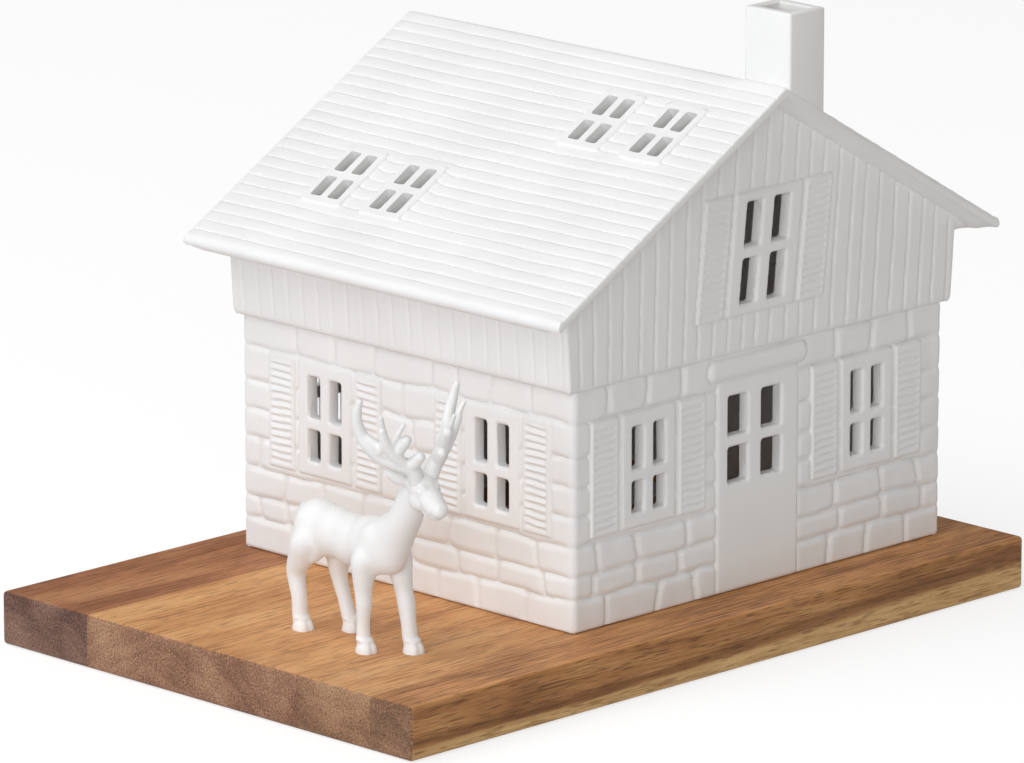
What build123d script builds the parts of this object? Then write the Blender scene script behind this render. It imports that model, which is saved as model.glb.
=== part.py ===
from build123d import *
import math
import os

# Tealight house: a white porcelain cottage that stands over a tealight on a wooden board,
# with a porcelain deer beside it. Millimetres, +Z up, +X along the board, door side at -Y.
# The origin is the middle of the board's underside.

# Board, four staves glued edge to edge, from the front edge to the back edge
BOARD_THICKNESS = 15.0
FRONT_STAVE_WIDTH = 15.5
INNER_FRONT_STAVE_WIDTH = 27.5
MIDDLE_STAVE_WIDTH = 82.5
BACK_STAVE_WIDTH = 34.5
YARD_LENGTH = 78.5
HOUSE_END_MARGIN = 15.0
BOARD_EDGE_RADIUS = 1.2

# House walls, stone storey below and timber storey up to the eaves
HOUSE_WIDTH = 146.5
HOUSE_DEPTH = 129.0
HOUSE_BACK_SHIFT = 2.5
WALL = 3.4
STONE_HEIGHT = 67.0
TIMBER_HEIGHT = 19.4
TIMBER_SIDE_OVERHANG = 2.4
TIMBER_END_OVERHANG = 1.0
SIDE_FLARE_DEGREES = 4.0

# Roof, one shell with lapped slats and boxed eaves
EAVE_OVERHANG = 14.0
EAVE_THICKNESS = 3.0
VERGE_OVERHANG = 8.3
ROOF_RISE = 50.8
ROOF_THICKNESS = 4.0
SLAT_COUNT = 25
SLAT_STEP = 0.5

# Chimney, a square tube that stands on the right slope at the front edge of the roof
CHIMNEY_WIDTH = 13.8
CHIMNEY_DEPTH = 17.3
CHIMNEY_WALL = 2.6
CHIMNEY_RIDGE_GAP = 1.7
CHIMNEY_RISE = 20.2

# Windows of the stone storey, two by two panes between louvred shutters,
# placed by the margin from the house corner to the nearest shutter
WINDOW_SILL_HEIGHT = 25.5
WINDOW_PANE_WIDTH = 4.5
WINDOW_MULLION = 3.8
WINDOW_LOWER_PANE = 9.0
WINDOW_UPPER_PANE = 12.0
WINDOW_TRANSOM = 3.2
WINDOW_STILE = 4.0
WINDOW_RAIL = 4.0
SHUTTER_WIDTH = 10.5
SHUTTER_GAP = 1.3
GABLE_CORNER_MARGIN = 7.8
GABLE_WINDOW_SHIFT = 1.1
SIDE_CORNER_MARGIN = 9.8
SIDE_WINDOW_SHIFT = 1.2
PANE_CORNER_RADIUS = 0.7

# Window high in each gable, its sill measured from the foot of the timber storey
LOFT_SILL_RISE = 10.7
LOFT_PANE_WIDTH = 6.2
LOFT_MULLION = 4.6
LOFT_LOWER_PANE = 12.7
LOFT_UPPER_PANE = 12.7
LOFT_TRANSOM = 3.0
LOFT_STILE = 4.8
LOFT_RAIL = 2.8

# Door in the front gable, with its lintel stone
DOOR_OFFSET = -1.4
DOOR_WIDTH = 32.0
DOOR_HEIGHT = 60.0
DOOR_PANE_SILL = 30.7
DOOR_PANE_SHIFT = 1.2
DOOR_PANE_WIDTH = 7.8
DOOR_MULLION = 5.4
DOOR_LOWER_PANE = 10.2
DOOR_UPPER_PANE = 11.4
DOOR_TRANSOM = 3.0
LINTEL_WIDTH = 39.4
LINTEL_HEIGHT = 6.2

# How far the cast ornament stands out of the wall
FRAME_RELIEF = 0.6
SHUTTER_RELIEF = 0.8
DOOR_RELIEF = 0.4
LINTEL_RELIEF = 0.9
ORNAMENT_ROOT = 1.0

# Skylights, a low pair and a high pair on each slope
SKYLIGHT_PANE_WIDTH = 4.2
SKYLIGHT_MULLION = 2.4
SKYLIGHT_PANE_HEIGHT = 8.0
SKYLIGHT_TRANSOM = 2.6
SKYLIGHT_FRAME = 2.2
SKYLIGHT_RELIEF = 0.5
SKYLIGHT_SPACING = 23.2
HIGH_PAIR_ALONG = -37.2
HIGH_PAIR_UP_SLOPE = 75.0
LOW_PAIR_ALONG = 27.4
LOW_PAIR_UP_SLOPE = 34.4

# Tealight, standing on the board in the middle of the house
CUP_RADIUS = 19.0
CUP_HEIGHT = 15.0
CUP_WALL = 0.4
WAX_DEPTH = 11.0
WAX_CLEARANCE = 0.1
WICK_RADIUS = 0.8
WICK_ABOVE_WAX = 5.0
WICK_CLEARANCE = 0.05
SUSTAINER_RADIUS = 6.0
SUSTAINER_THICKNESS = 0.5
SUSTAINER_COLLAR_RADIUS = 1.5
SUSTAINER_COLLAR_HEIGHT = 3.0

# Deer, in its own frame: ahead along its body, to its right side, and up from the board
DEER_TO_WALL = 44.15
DEER_FORWARD_SHIFT = 26.8
DEER_TURN_DEGREES = -7.3
LEG_SIDE = 4.9
LEG_TOP_SIDE = 2.2
EAR_THICKNESS = 0.45

# Trunk sections: ahead, height of the middle, half width, half height
TRUNK = [
    (-23.4, 28.2, 2.2, 2.8),
    (-20.5, 28.0, 5.2, 6.0),
    (-13.0, 27.6, 6.5, 7.5),
    (-2.0, 27.2, 6.2, 7.6),
    (8.0, 28.4, 6.4, 8.3),
    (14.5, 29.6, 5.2, 7.0),
    (17.6, 30.4, 2.4, 3.2),
]

# Legs from the hoof up: ahead, height, radius; the last section lies inside the trunk
HIND_RIGHT_LEG = [
    (-18.2, 0, 2.9), (-19.0, 3.4, 2.0), (-19.2, 8.5, 1.8),
    (-20.6, 15.5, 2.5), (-16.6, 24.5, 4.0), (-14.0, 31.5, 2.0),
]
HIND_LEFT_LEG = [
    (-9.0, 0, 2.8), (-10.4, 3.4, 2.0), (-12.2, 8.5, 1.9),
    (-14.4, 15.5, 2.5), (-13.6, 24.5, 4.0), (-13.0, 31.5, 2.0),
]
FORE_RIGHT_LEG = [
    (10.2, 0, 2.6), (9.4, 3.6, 1.8), (9.4, 8.0, 1.7),
    (9.6, 15.0, 2.1), (9.8, 24.5, 3.4), (10.0, 31.5, 2.0),
]
FORE_LEFT_LEG = [
    (18.3, 0, 2.7), (17.2, 3.6, 1.8), (16.6, 7.5, 1.7),
    (14.9, 14.5, 2.2), (12.4, 24.5, 3.4), (11.0, 31.5, 2.0),
]

# Neck and head: ahead, right, height, radius
NECK = [(7, 0, 30.5, 6.0), (14.5, 0, 35.2, 5.3), (21.2, 0, 40.6, 4.2), (25.6, 0, 46, 3.6), (28, 0, 49.6, 3.0)]
HEAD = [
    (25.4, 0, 49.6, 2.4), (28.4, 0, 49.2, 4.1), (32.2, 0, 47.8, 3.7),
    (35.6, 0, 45.4, 2.8), (38.2, 0, 43.8, 2.1),
]
EAR = [(27.6, 2.6, 49.9, 0.9), (25.4, 5.4, 51.6, 1.7), (22.6, 8.0, 52.6, 0.5)]

# Antler of the right side: ahead, right, height, radius
ANTLER_BEAM = [
    (29.4, 1.8, 50.4, 1.9),
    (29.2, 3.9, 54.2, 2.0),
    (27.2, 7.4, 56.1, 2.0),
    (24.2, 10.2, 57.7, 2.0),
    (22.6, 12.8, 60.5, 1.8),
    (21.4, 14.6, 64.2, 1.6),
    (21.7, 15.9, 69.2, 1.2),
    (23.6, 16.1, 74.2, 0.6),
]
CROWN_TINE = [
    (24.6, 10.8, 58.2, 1.5), (27.6, 11.3, 61.4, 1.2), (28.2, 12.2, 65.6, 1.0), (29.4, 13.8, 70.2, 0.6),
]
MIDDLE_TINE = [(25.6, 9.4, 57.6, 1.3), (28.0, 9.2, 61.6, 1.0), (32.4, 8.3, 68.0, 0.5)]
LOWER_TINE = [(26.6, 7.8, 56.6, 1.5), (29.4, 7.2, 60.6, 1.4), (31.8, 6.7, 63.8, 0.9)]
BROW_TINE = [(29.0, 4.2, 54.2, 1.5), (31.4, 3.9, 56.6, 1.3), (33.6, 3.5, 58.8, 0.9)]

# Sizes that follow from the driving dimensions
BOARD_LENGTH = YARD_LENGTH + HOUSE_WIDTH + HOUSE_END_MARGIN
BOARD_WIDTH = FRONT_STAVE_WIDTH + INNER_FRONT_STAVE_WIDTH + MIDDLE_STAVE_WIDTH + BACK_STAVE_WIDTH
HOUSE_X = BOARD_LENGTH / 2 - HOUSE_END_MARGIN - HOUSE_WIDTH / 2
HOUSE_PLACE = Pos(HOUSE_X, HOUSE_BACK_SHIFT, BOARD_THICKNESS)
DEER_X = HOUSE_X - HOUSE_WIDTH / 2 - DEER_TO_WALL
DEER_Y = HOUSE_BACK_SHIFT - DEER_FORWARD_SHIFT
DEER_PLACE = Pos(DEER_X, DEER_Y, BOARD_THICKNESS) * Rot(0, 0, DEER_TURN_DEGREES)
SOFFIT_HEIGHT = STONE_HEIGHT + TIMBER_HEIGHT
EAVE_TOP = SOFFIT_HEIGHT + EAVE_THICKNESS
RIDGE_HEIGHT = EAVE_TOP + ROOF_RISE
FLARE = math.tan(math.radians(SIDE_FLARE_DEGREES))
GABLE_FACE = HOUSE_DEPTH / 2 + TIMBER_END_OVERHANG
ROOF_HALF_SPAN = HOUSE_WIDTH / 2 + EAVE_OVERHANG
ROOF_LENGTH = HOUSE_DEPTH + 2 * VERGE_OVERHANG
PITCH = math.atan2(ROOF_RISE, ROOF_HALF_SPAN)
SLOPE_LENGTH = math.hypot(ROOF_RISE, ROOF_HALF_SPAN)
ROOF_DROP = ROOF_THICKNESS / math.cos(PITCH)
FLUE_WIDTH = CHIMNEY_WIDTH - 2 * CHIMNEY_WALL
FLUE_DEPTH = CHIMNEY_DEPTH - 2 * CHIMNEY_WALL
WINDOW_WIDTH = 2 * WINDOW_PANE_WIDTH + WINDOW_MULLION + 2 * WINDOW_STILE
SHUTTER_REACH = WINDOW_WIDTH / 2 + SHUTTER_GAP + SHUTTER_WIDTH


# Board staves

def staves():
    """Cut one soft-edged board into its staves, so that the seams meet face to face."""
    board = Pos(0, 0, BOARD_THICKNESS / 2) * Box(BOARD_LENGTH, BOARD_WIDTH, BOARD_THICKNESS)
    board = fillet(board.edges(), BOARD_EDGE_RADIUS)
    widths = {
        "board_stave_front": FRONT_STAVE_WIDTH,
        "board_stave_inner_front": INNER_FRONT_STAVE_WIDTH,
        "board_stave_middle": MIDDLE_STAVE_WIDTH,
        "board_stave_back": BACK_STAVE_WIDTH,
    }
    cut = {}
    edge = -BOARD_WIDTH / 2
    for name, width in widths.items():
        slab = Pos(0, edge + width / 2, BOARD_THICKNESS / 2) * Box(BOARD_LENGTH, width, BOARD_THICKNESS)
        cut[name] = board & slab
        edge += width
    return cut


# Roof profile, shared by the roof, the walls under it and the chimney on it

def slope_point(along, lift):
    """Point of the left slope's section, measured up the slope from the eave."""
    across = -ROOF_HALF_SPAN + along * math.cos(PITCH) - lift * math.sin(PITCH)
    height = EAVE_TOP + along * math.sin(PITCH) + lift * math.cos(PITCH)
    return (across, height)


def slat_line():
    """Lapped slats up the left slope: each lower edge stands out, each upper edge lies flush."""
    points = []
    exposure = SLOPE_LENGTH / SLAT_COUNT
    for row in range(SLAT_COUNT):
        points.append(slope_point(row * exposure, SLAT_STEP))
        points.append(slope_point((row + 1) * exposure, 0))
    return points


def mirrored(points):
    return [(-across, height) for across, height in reversed(points)]


def prism(points, length):
    """Extrude a section given as (across, height) along the ridge, centred on the house."""
    section = Plane.XZ * make_face(Polyline(*points, close=True))
    return extrude(section, length / 2, both=True)


def wall_line(height):
    """Half width of the house at a height in the timber storey, to the outside of the wall."""
    return HOUSE_WIDTH / 2 + TIMBER_SIDE_OVERHANG + FLARE * (height - STONE_HEIGHT)


def underside():
    """Section line of the roof's underside, from the left wall's inner face to the right one's."""
    inner = wall_line(SOFFIT_HEIGHT) - WALL
    springing = RIDGE_HEIGHT - ROOF_DROP - inner * math.tan(PITCH)
    left = [(-inner, SOFFIT_HEIGHT), (-inner, springing)]
    return left + [(0, RIDGE_HEIGHT - ROOF_DROP)] + mirrored(left)


def roof_top():
    """Section line of the slats, from the left eave over the ridge to the right eave."""
    left = [(-ROOF_HALF_SPAN, SOFFIT_HEIGHT)] + slat_line()
    return left + mirrored(left)[1:]


# Windows, drawn in a plane on the wall: across, up and outwards

def block(width, height, low, high, radius=0.0):
    """Upright plate with its lower edge on the origin, from depth low to depth high."""
    outline = RectangleRounded(width, height, radius) if radius else Rectangle(width, height)
    return Pos(0, height / 2, low) * extrude(outline, high - low)


def panes(width, mullion, lower, transom, upper, depth):
    """Two by two openings, with the lower panes' sill on the origin."""
    openings = []
    for side in (-1, 1):
        across = side * (width + mullion) / 2
        for sill, height in ((0, lower), (lower + transom, upper)):
            openings.append(Pos(across, sill, 0) * block(width, height, -depth, depth, PANE_CORNER_RADIUS))
    return openings


def window(pane_width, mullion, lower, transom, upper, stile, rail):
    """Frame plate with a shutter at each side, and the panes cut through it."""
    width = 2 * pane_width + mullion + 2 * stile
    height = lower + transom + upper + 2 * rail
    plates = [block(width, height, -ORNAMENT_ROOT, FRAME_RELIEF)]
    for side in (-1, 1):
        across = side * (width / 2 + SHUTTER_GAP + SHUTTER_WIDTH / 2)
        plates.append(Pos(across, 0, 0) * block(SHUTTER_WIDTH, height, -ORNAMENT_ROOT, SHUTTER_RELIEF))
    openings = panes(pane_width, mullion, lower, transom, upper, 2 * WALL)
    return plates, [Pos(0, rail, 0) * opening for opening in openings]


def stone_window():
    return window(WINDOW_PANE_WIDTH, WINDOW_MULLION, WINDOW_LOWER_PANE, WINDOW_TRANSOM,
                  WINDOW_UPPER_PANE, WINDOW_STILE, WINDOW_RAIL)


def loft_window():
    return window(LOFT_PANE_WIDTH, LOFT_MULLION, LOFT_LOWER_PANE, LOFT_TRANSOM,
                  LOFT_UPPER_PANE, LOFT_STILE, LOFT_RAIL)


def door():
    """Door plate and lintel stone, with the panes cut through the door."""
    lintel = Pos(0, DOOR_HEIGHT, 0) * block(LINTEL_WIDTH, LINTEL_HEIGHT, -ORNAMENT_ROOT, LINTEL_RELIEF)
    plates = [block(DOOR_WIDTH, DOOR_HEIGHT, -ORNAMENT_ROOT, DOOR_RELIEF), lintel]
    openings = panes(DOOR_PANE_WIDTH, DOOR_MULLION, DOOR_LOWER_PANE, DOOR_TRANSOM, DOOR_UPPER_PANE, 2 * WALL)
    return plates, [Pos(-DOOR_PANE_SHIFT, DOOR_PANE_SILL, 0) * opening for opening in openings]


def wall_plane(facing, across, height):
    """Plane on a stone wall: facing is the way out, across is measured along the wall."""
    out = Vector(facing)
    along = Vector(0, 0, 1).cross(out)
    reach = HOUSE_WIDTH / 2 if facing[0] else HOUSE_DEPTH / 2
    return Plane(out * reach + along * across + Vector(0, 0, height), x_dir=along, z_dir=out)


def gable_plane(side, across, height):
    """Plane on the timber gable at the front (side -1) or at the back (side 1)."""
    return Plane((-side * across, side * GABLE_FACE, height), x_dir=(-side, 0, 0), z_dir=(0, side, 0))


def ornaments():
    """Every plate and every pane of the walls, in the house's frame."""
    placed = []
    gable_offset = HOUSE_WIDTH / 2 - GABLE_CORNER_MARGIN - SHUTTER_REACH
    side_offset = HOUSE_DEPTH / 2 - SIDE_CORNER_MARGIN - SHUTTER_REACH
    for side in (-1, 1):
        for hand in (-1, 1):
            across = hand * gable_offset - GABLE_WINDOW_SHIFT
            placed.append((wall_plane((0, side, 0), across, WINDOW_SILL_HEIGHT), stone_window()))
            across = hand * side_offset - side * SIDE_WINDOW_SHIFT
            placed.append((wall_plane((side, 0, 0), across, WINDOW_SILL_HEIGHT), stone_window()))
        placed.append((gable_plane(side, DOOR_OFFSET, STONE_HEIGHT + LOFT_SILL_RISE), loft_window()))
    placed.append((wall_plane((0, -1, 0), DOOR_OFFSET, 0), door()))
    plates = []
    openings = []
    for plane, (flat, cut) in placed:
        plates += [plane * piece for piece in flat]
        openings += [plane * piece for piece in cut]
    return plates, openings


# House walls: stone storey, wider timber storey, and the two gables

def storey(low, high, inset):
    """Block of the timber storey between two heights, its sides flared, inset from the wall's outside."""
    sections = []
    for height in (low, high):
        width = 2 * (wall_line(height) - inset)
        sections.append(Pos(0, 0, height) * Rectangle(width, 2 * (GABLE_FACE - inset)))
    return loft(sections, ruled=True)


def house_walls():
    step = STONE_HEIGHT + WALL
    stone = Pos(0, 0, STONE_HEIGHT / 2) * Box(HOUSE_WIDTH, HOUSE_DEPTH, STONE_HEIGHT)
    room = Pos(0, 0, step / 2) * Box(HOUSE_WIDTH - 2 * WALL, HOUSE_DEPTH - 2 * WALL, step)
    outside = stone + storey(STONE_HEIGHT, RIDGE_HEIGHT, 0)
    plates, openings = ornaments()
    inside = room + storey(step, RIDGE_HEIGHT, WALL)
    span = 2 * wall_line(RIDGE_HEIGHT)
    below = [(-span, 0), (-span, SOFFIT_HEIGHT)]
    under_roof = prism(below + underside() + mirrored(below), 2 * ROOF_LENGTH)
    walls = outside + plates
    walls = walls - inside - openings
    return walls & under_roof


# Roof

def skylight():
    """Frame plate and panes of one skylight, drawn on the slope and centred on the origin."""
    width = 2 * SKYLIGHT_PANE_WIDTH + SKYLIGHT_MULLION + 2 * SKYLIGHT_FRAME
    height = 2 * SKYLIGHT_PANE_HEIGHT + SKYLIGHT_TRANSOM + 2 * SKYLIGHT_FRAME
    plate = Pos(0, -height / 2, 0) * block(width, height, -ORNAMENT_ROOT, SLAT_STEP + SKYLIGHT_RELIEF)
    sill = SKYLIGHT_FRAME - height / 2
    openings = panes(SKYLIGHT_PANE_WIDTH, SKYLIGHT_MULLION, SKYLIGHT_PANE_HEIGHT, SKYLIGHT_TRANSOM,
                     SKYLIGHT_PANE_HEIGHT, 2 * ROOF_THICKNESS)
    return plate, [Pos(0, sill, 0) * opening for opening in openings]


def slope_plane(along_ridge, up_slope):
    """Plane on the left slope, with its Y axis running up the slope."""
    across, height = slope_point(up_slope, 0)
    out = Vector(-math.sin(PITCH), 0, math.cos(PITCH))
    return Plane((across, along_ridge, height), x_dir=(0, -1, 0), z_dir=out)


def skylights():
    """Both pairs of the left slope, and the same turned half round for the right slope."""
    plates = []
    openings = []
    for middle, up_slope in ((HIGH_PAIR_ALONG, HIGH_PAIR_UP_SLOPE), (LOW_PAIR_ALONG, LOW_PAIR_UP_SLOPE)):
        for side in (-1, 1):
            plane = slope_plane(middle + side * SKYLIGHT_SPACING / 2, up_slope)
            plate, cuts = skylight()
            for turn in (0, 180):
                plates.append(Rot(0, 0, turn) * (plane * plate))
                openings += [Rot(0, 0, turn) * (plane * cut) for cut in cuts]
    return plates, openings


def chimney_middle():
    """Middle of the chimney in plan: beside the ridge, flush with the front edge of the roof."""
    return (CHIMNEY_RIDGE_GAP + CHIMNEY_WIDTH / 2, CHIMNEY_DEPTH / 2 - ROOF_LENGTH / 2)


def flue():
    across, along = chimney_middle()
    height = RIDGE_HEIGHT + CHIMNEY_RISE - SOFFIT_HEIGHT
    return Pos(across, along, SOFFIT_HEIGHT + height / 2) * Box(FLUE_WIDTH, FLUE_DEPTH, height)


def throat():
    """The part of the flue that runs down through the roof, behind the front gable."""
    room = Pos(0, 0, RIDGE_HEIGHT) * Box(HOUSE_WIDTH, 2 * (GABLE_FACE - WALL), 2 * RIDGE_HEIGHT)
    return flue() & room


def roof():
    shell = prism(roof_top() + list(reversed(underside())), ROOF_LENGTH)
    plates, openings = skylights()
    return shell + plates - openings - throat()


# Chimney

def chimney():
    across, along = chimney_middle()
    height = RIDGE_HEIGHT + CHIMNEY_RISE - EAVE_TOP
    stack = Pos(across, along, EAVE_TOP + height / 2) * Box(CHIMNEY_WIDTH, CHIMNEY_DEPTH, height)
    return stack - flue() - prism(roof_top(), 2 * ROOF_LENGTH)


# Deer

def at(ahead, right, height):
    """Point of the deer's frame; the deer looks along -Y, so its right side is at -X."""
    return Vector(-right, -ahead, height)


def limb(sections, flatten=1.0):
    """Smooth round limb through (ahead, right, height, radius) sections."""
    points = [at(*section[:3]) for section in sections]
    rings = []
    for index, section in enumerate(sections):
        before = points[max(index - 1, 0)]
        after = points[min(index + 1, len(points) - 1)]
        plane = Plane(points[index], x_dir=(after - before).cross(Vector(0, 1, 0)), z_dir=after - before)
        rings.append(plane * Ellipse(section[3], section[3] * flatten))
    return loft(rings)


def leg(sections, side):
    """Round leg that leans in under the trunk at its top."""
    rings = []
    for index, (ahead, height, radius) in enumerate(sections):
        out = LEG_SIDE if index < len(sections) - 1 else LEG_TOP_SIDE
        rings.append(Pos(at(ahead, side * out, height)) * Circle(radius))
    return loft(rings)


def trunk():
    rings = []
    for ahead, height, half_width, half_height in TRUNK:
        plane = Plane(at(ahead, 0, height), x_dir=(1, 0, 0), z_dir=(0, -1, 0))
        rings.append(plane * Ellipse(half_width, half_height))
    return loft(rings)


def other_side(sections):
    return [(ahead, -right, height, radius) for ahead, right, height, radius in sections]


def deer_body():
    body = trunk() + limb(NECK) + limb(HEAD)
    body += [leg(HIND_RIGHT_LEG, 1), leg(HIND_LEFT_LEG, -1), leg(FORE_RIGHT_LEG, 1), leg(FORE_LEFT_LEG, -1)]
    return body + [limb(EAR, EAR_THICKNESS), limb(other_side(EAR), EAR_THICKNESS)]


def antler(body, turn):
    """One antler, cut back where its root stands on the head."""
    branches = [ANTLER_BEAM, CROWN_TINE, MIDDLE_TINE, LOWER_TINE, BROW_TINE]
    tines = [limb(turn(branch)) for branch in branches]
    return tines[0] + tines[1:] - body


# Tealight

def rod(radius, height):
    """Upright cylinder that stands on the origin."""
    return Cylinder(radius, height, align=(Align.CENTER, Align.CENTER, Align.MIN))


def tealight():
    """Cup, wax, wick and wick sustainer, standing on the origin."""
    floor = Pos(0, 0, CUP_WALL)
    cup = rod(CUP_RADIUS, CUP_HEIGHT) - floor * rod(CUP_RADIUS - CUP_WALL, CUP_HEIGHT)
    wick_length = WAX_DEPTH + WICK_ABOVE_WAX
    bore = rod(WICK_RADIUS + WICK_CLEARANCE, wick_length)
    foot = rod(SUSTAINER_RADIUS, SUSTAINER_THICKNESS) + rod(SUSTAINER_COLLAR_RADIUS, SUSTAINER_COLLAR_HEIGHT)
    wax = rod(CUP_RADIUS - CUP_WALL - WAX_CLEARANCE, WAX_DEPTH) - foot - bore
    return {
        "tealight_cup": cup,
        "tealight_wax": floor * wax,
        "tealight_wick": floor * rod(WICK_RADIUS, wick_length),
        "wick_sustainer": floor * (foot - bore),
    }


def main():
    os.makedirs("parts", exist_ok=True)
    nodes = staves()
    for name, piece in (("house_walls", house_walls()), ("roof", roof()), ("chimney", chimney())):
        nodes[name] = HOUSE_PLACE * piece
    for name, piece in tealight().items():
        nodes[name] = HOUSE_PLACE * piece
    body = deer_body()
    nodes["deer_body"] = DEER_PLACE * body
    nodes["deer_antler_right"] = DEER_PLACE * antler(body, list)
    nodes["deer_antler_left"] = DEER_PLACE * antler(body, other_side)
    for name, piece in nodes.items():
        export_step(piece, f"parts/{name}.step")


main()
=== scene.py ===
# %% [markdown]
# A tealight house: a white porcelain cottage that stands over a tealight on a wooden board, with a
# porcelain deer beside it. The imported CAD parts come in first, and everything made here is set on them.
# They already lie where they belong, in metres, so nothing has to be fitted by eye.

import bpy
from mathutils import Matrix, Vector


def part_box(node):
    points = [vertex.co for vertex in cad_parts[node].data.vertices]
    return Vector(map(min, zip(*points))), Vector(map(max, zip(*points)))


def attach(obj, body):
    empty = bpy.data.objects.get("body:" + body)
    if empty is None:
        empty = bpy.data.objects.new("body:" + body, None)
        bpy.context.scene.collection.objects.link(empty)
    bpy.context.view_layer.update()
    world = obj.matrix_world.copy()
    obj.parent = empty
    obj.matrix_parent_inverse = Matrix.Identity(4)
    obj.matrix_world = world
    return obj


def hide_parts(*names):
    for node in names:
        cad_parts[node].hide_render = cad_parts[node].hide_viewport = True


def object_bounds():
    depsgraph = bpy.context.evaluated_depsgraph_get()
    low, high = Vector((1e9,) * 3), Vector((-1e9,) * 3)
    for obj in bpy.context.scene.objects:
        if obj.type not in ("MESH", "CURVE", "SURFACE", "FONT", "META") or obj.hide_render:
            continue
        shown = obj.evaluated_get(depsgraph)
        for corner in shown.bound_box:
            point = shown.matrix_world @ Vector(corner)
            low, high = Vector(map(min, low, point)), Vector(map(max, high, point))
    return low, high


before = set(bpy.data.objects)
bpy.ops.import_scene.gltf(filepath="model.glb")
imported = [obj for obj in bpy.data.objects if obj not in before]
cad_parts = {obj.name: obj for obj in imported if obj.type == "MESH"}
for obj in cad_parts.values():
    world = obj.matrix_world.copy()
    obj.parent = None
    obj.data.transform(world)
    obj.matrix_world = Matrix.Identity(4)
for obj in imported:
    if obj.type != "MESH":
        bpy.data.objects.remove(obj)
cad_low, cad_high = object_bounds()

# %% [markdown]
# Two habits keep modelling by operator safe. Nothing stays selected from the step before, because an
# operator works on all that is selected, and a piece is picked up alone before it is shaped. All sizes
# below are millimetres in the house's own frame, whose origin lies on the board under the middle of the
# roof, and they become metres only where they are written into a mesh.

# %% Pick up and put down
import math
import bpy
import numpy as np
from mathutils import Matrix, Vector

MM = 0.001
roof_low, roof_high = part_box("roof")
BOARD_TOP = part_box("board_stave_middle")[1].z / MM
HOUSE = np.array([(roof_low.x + roof_high.x) / 2 / MM, (roof_low.y + roof_high.y) / 2 / MM, BOARD_TOP])


def put_down():
    """Leave edit mode with nothing selected."""
    if bpy.context.mode != "OBJECT":
        bpy.ops.object.mode_set(mode="OBJECT")
    bpy.ops.object.select_all(action="DESELECT")


def pick_up(piece):
    """Make one piece the only selected and active one."""
    put_down()
    piece.select_set(True)
    bpy.context.view_layer.objects.active = piece
    return piece


def apply_modifier(piece, kind, **settings):
    """Add a modifier, set it and apply it at once."""
    pick_up(piece)
    modifier = piece.modifiers.new(kind.title(), kind)
    for key, value in settings.items():
        setattr(modifier, key, value)
    bpy.ops.object.modifier_apply(modifier=modifier.name)
    return piece


put_down()
print("house frame on the board:", [round(float(v), 3) for v in HOUSE])

# %% [markdown]
# The camera stands where the photograph was taken from: well back with a long lens, so the walls hardly
# converge, turned 45 degrees to the house and about 14 degrees above the table. An empty target with a
# constraint would do as well; the view is fixed, so its direction is worked out once.

# %% Camera
CAMERA_TURN = -45.05
CAMERA_HEIGHT = 14.27
CAMERA_TARGET = Vector((9.93, 12.49, 62.8)) * MM
CAMERA_DISTANCE = 2386.1 * MM
turn, rise = math.radians(CAMERA_TURN), math.radians(CAMERA_HEIGHT)
backward = Vector((math.sin(turn) * math.cos(rise), -math.cos(turn) * math.cos(rise), math.sin(rise)))
put_down()
bpy.ops.object.camera_add(location=CAMERA_TARGET + backward * CAMERA_DISTANCE)
camera = bpy.context.object
camera.rotation_mode = "QUATERNION"
camera.rotation_quaternion = (-backward).to_track_quat("-Z", "Y")
camera.data.sensor_width = 36.0
camera.data.lens = 302.7
camera.data.clip_start = 0.05
camera.data.clip_end = 50.0
bpy.context.scene.camera = camera
print("camera at", [round(v, 3) for v in camera.location])

# %% [markdown]
# Every finish here is a small graph of nodes. One helper adds a node, sets its options and wires or fills
# its sockets; a second one turns a value into colours. Patterns read Object coordinates, which are the
# metres of the frame itself, so a pattern stays the same size on every piece.

# %% Nodes for the finishes
def add_node(tree, kind, sockets=None, **settings):
    """New node with its options set; a socket takes a number, a colour or another node's output."""
    node = tree.nodes.new(kind)
    for key, value in settings.items():
        setattr(node, key, value)
    for socket, value in (sockets or {}).items():
        if isinstance(value, bpy.types.NodeSocket):
            tree.links.new(value, node.inputs[socket])
        else:
            node.inputs[socket].default_value = value
    return node


def colour_stops(tree, value, stops):
    """Colours over a value, as (place, colour) stops."""
    ramp = add_node(tree, "ShaderNodeValToRGB", {"Fac": value})
    elements = ramp.color_ramp.elements
    while len(elements) < len(stops):
        elements.new(0.5)
    for element, (place, colour) in zip(elements, stops):
        element.position = place
        element.color = (*colour, 1.0)
    return ramp.outputs["Color"]


def mixed(tree, factor, first, second, blend="MIX"):
    """Two colours mixed by a factor."""
    node = add_node(tree, "ShaderNodeMix", {0: factor}, data_type="RGBA", blend_type=blend)
    for index, colour in ((6, first), (7, second)):
        if isinstance(colour, bpy.types.NodeSocket):
            tree.links.new(colour, node.inputs[index])
        else:
            node.inputs[index].default_value = (*colour, 1.0)
    return node.outputs[2]


def math_node(tree, operation, *values):
    return add_node(tree, "ShaderNodeMath", dict(enumerate(values)), operation=operation).outputs[0]


def soft_step(tree, value, low, high, to_low=0.0, to_high=1.0):
    """Value carried smoothly from one range to another."""
    sockets = {"Value": value, "From Min": low, "From Max": high, "To Min": to_low, "To Max": to_high}
    return add_node(tree, "ShaderNodeMapRange", sockets, interpolation_type="SMOOTHSTEP").outputs["Result"]


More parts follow.
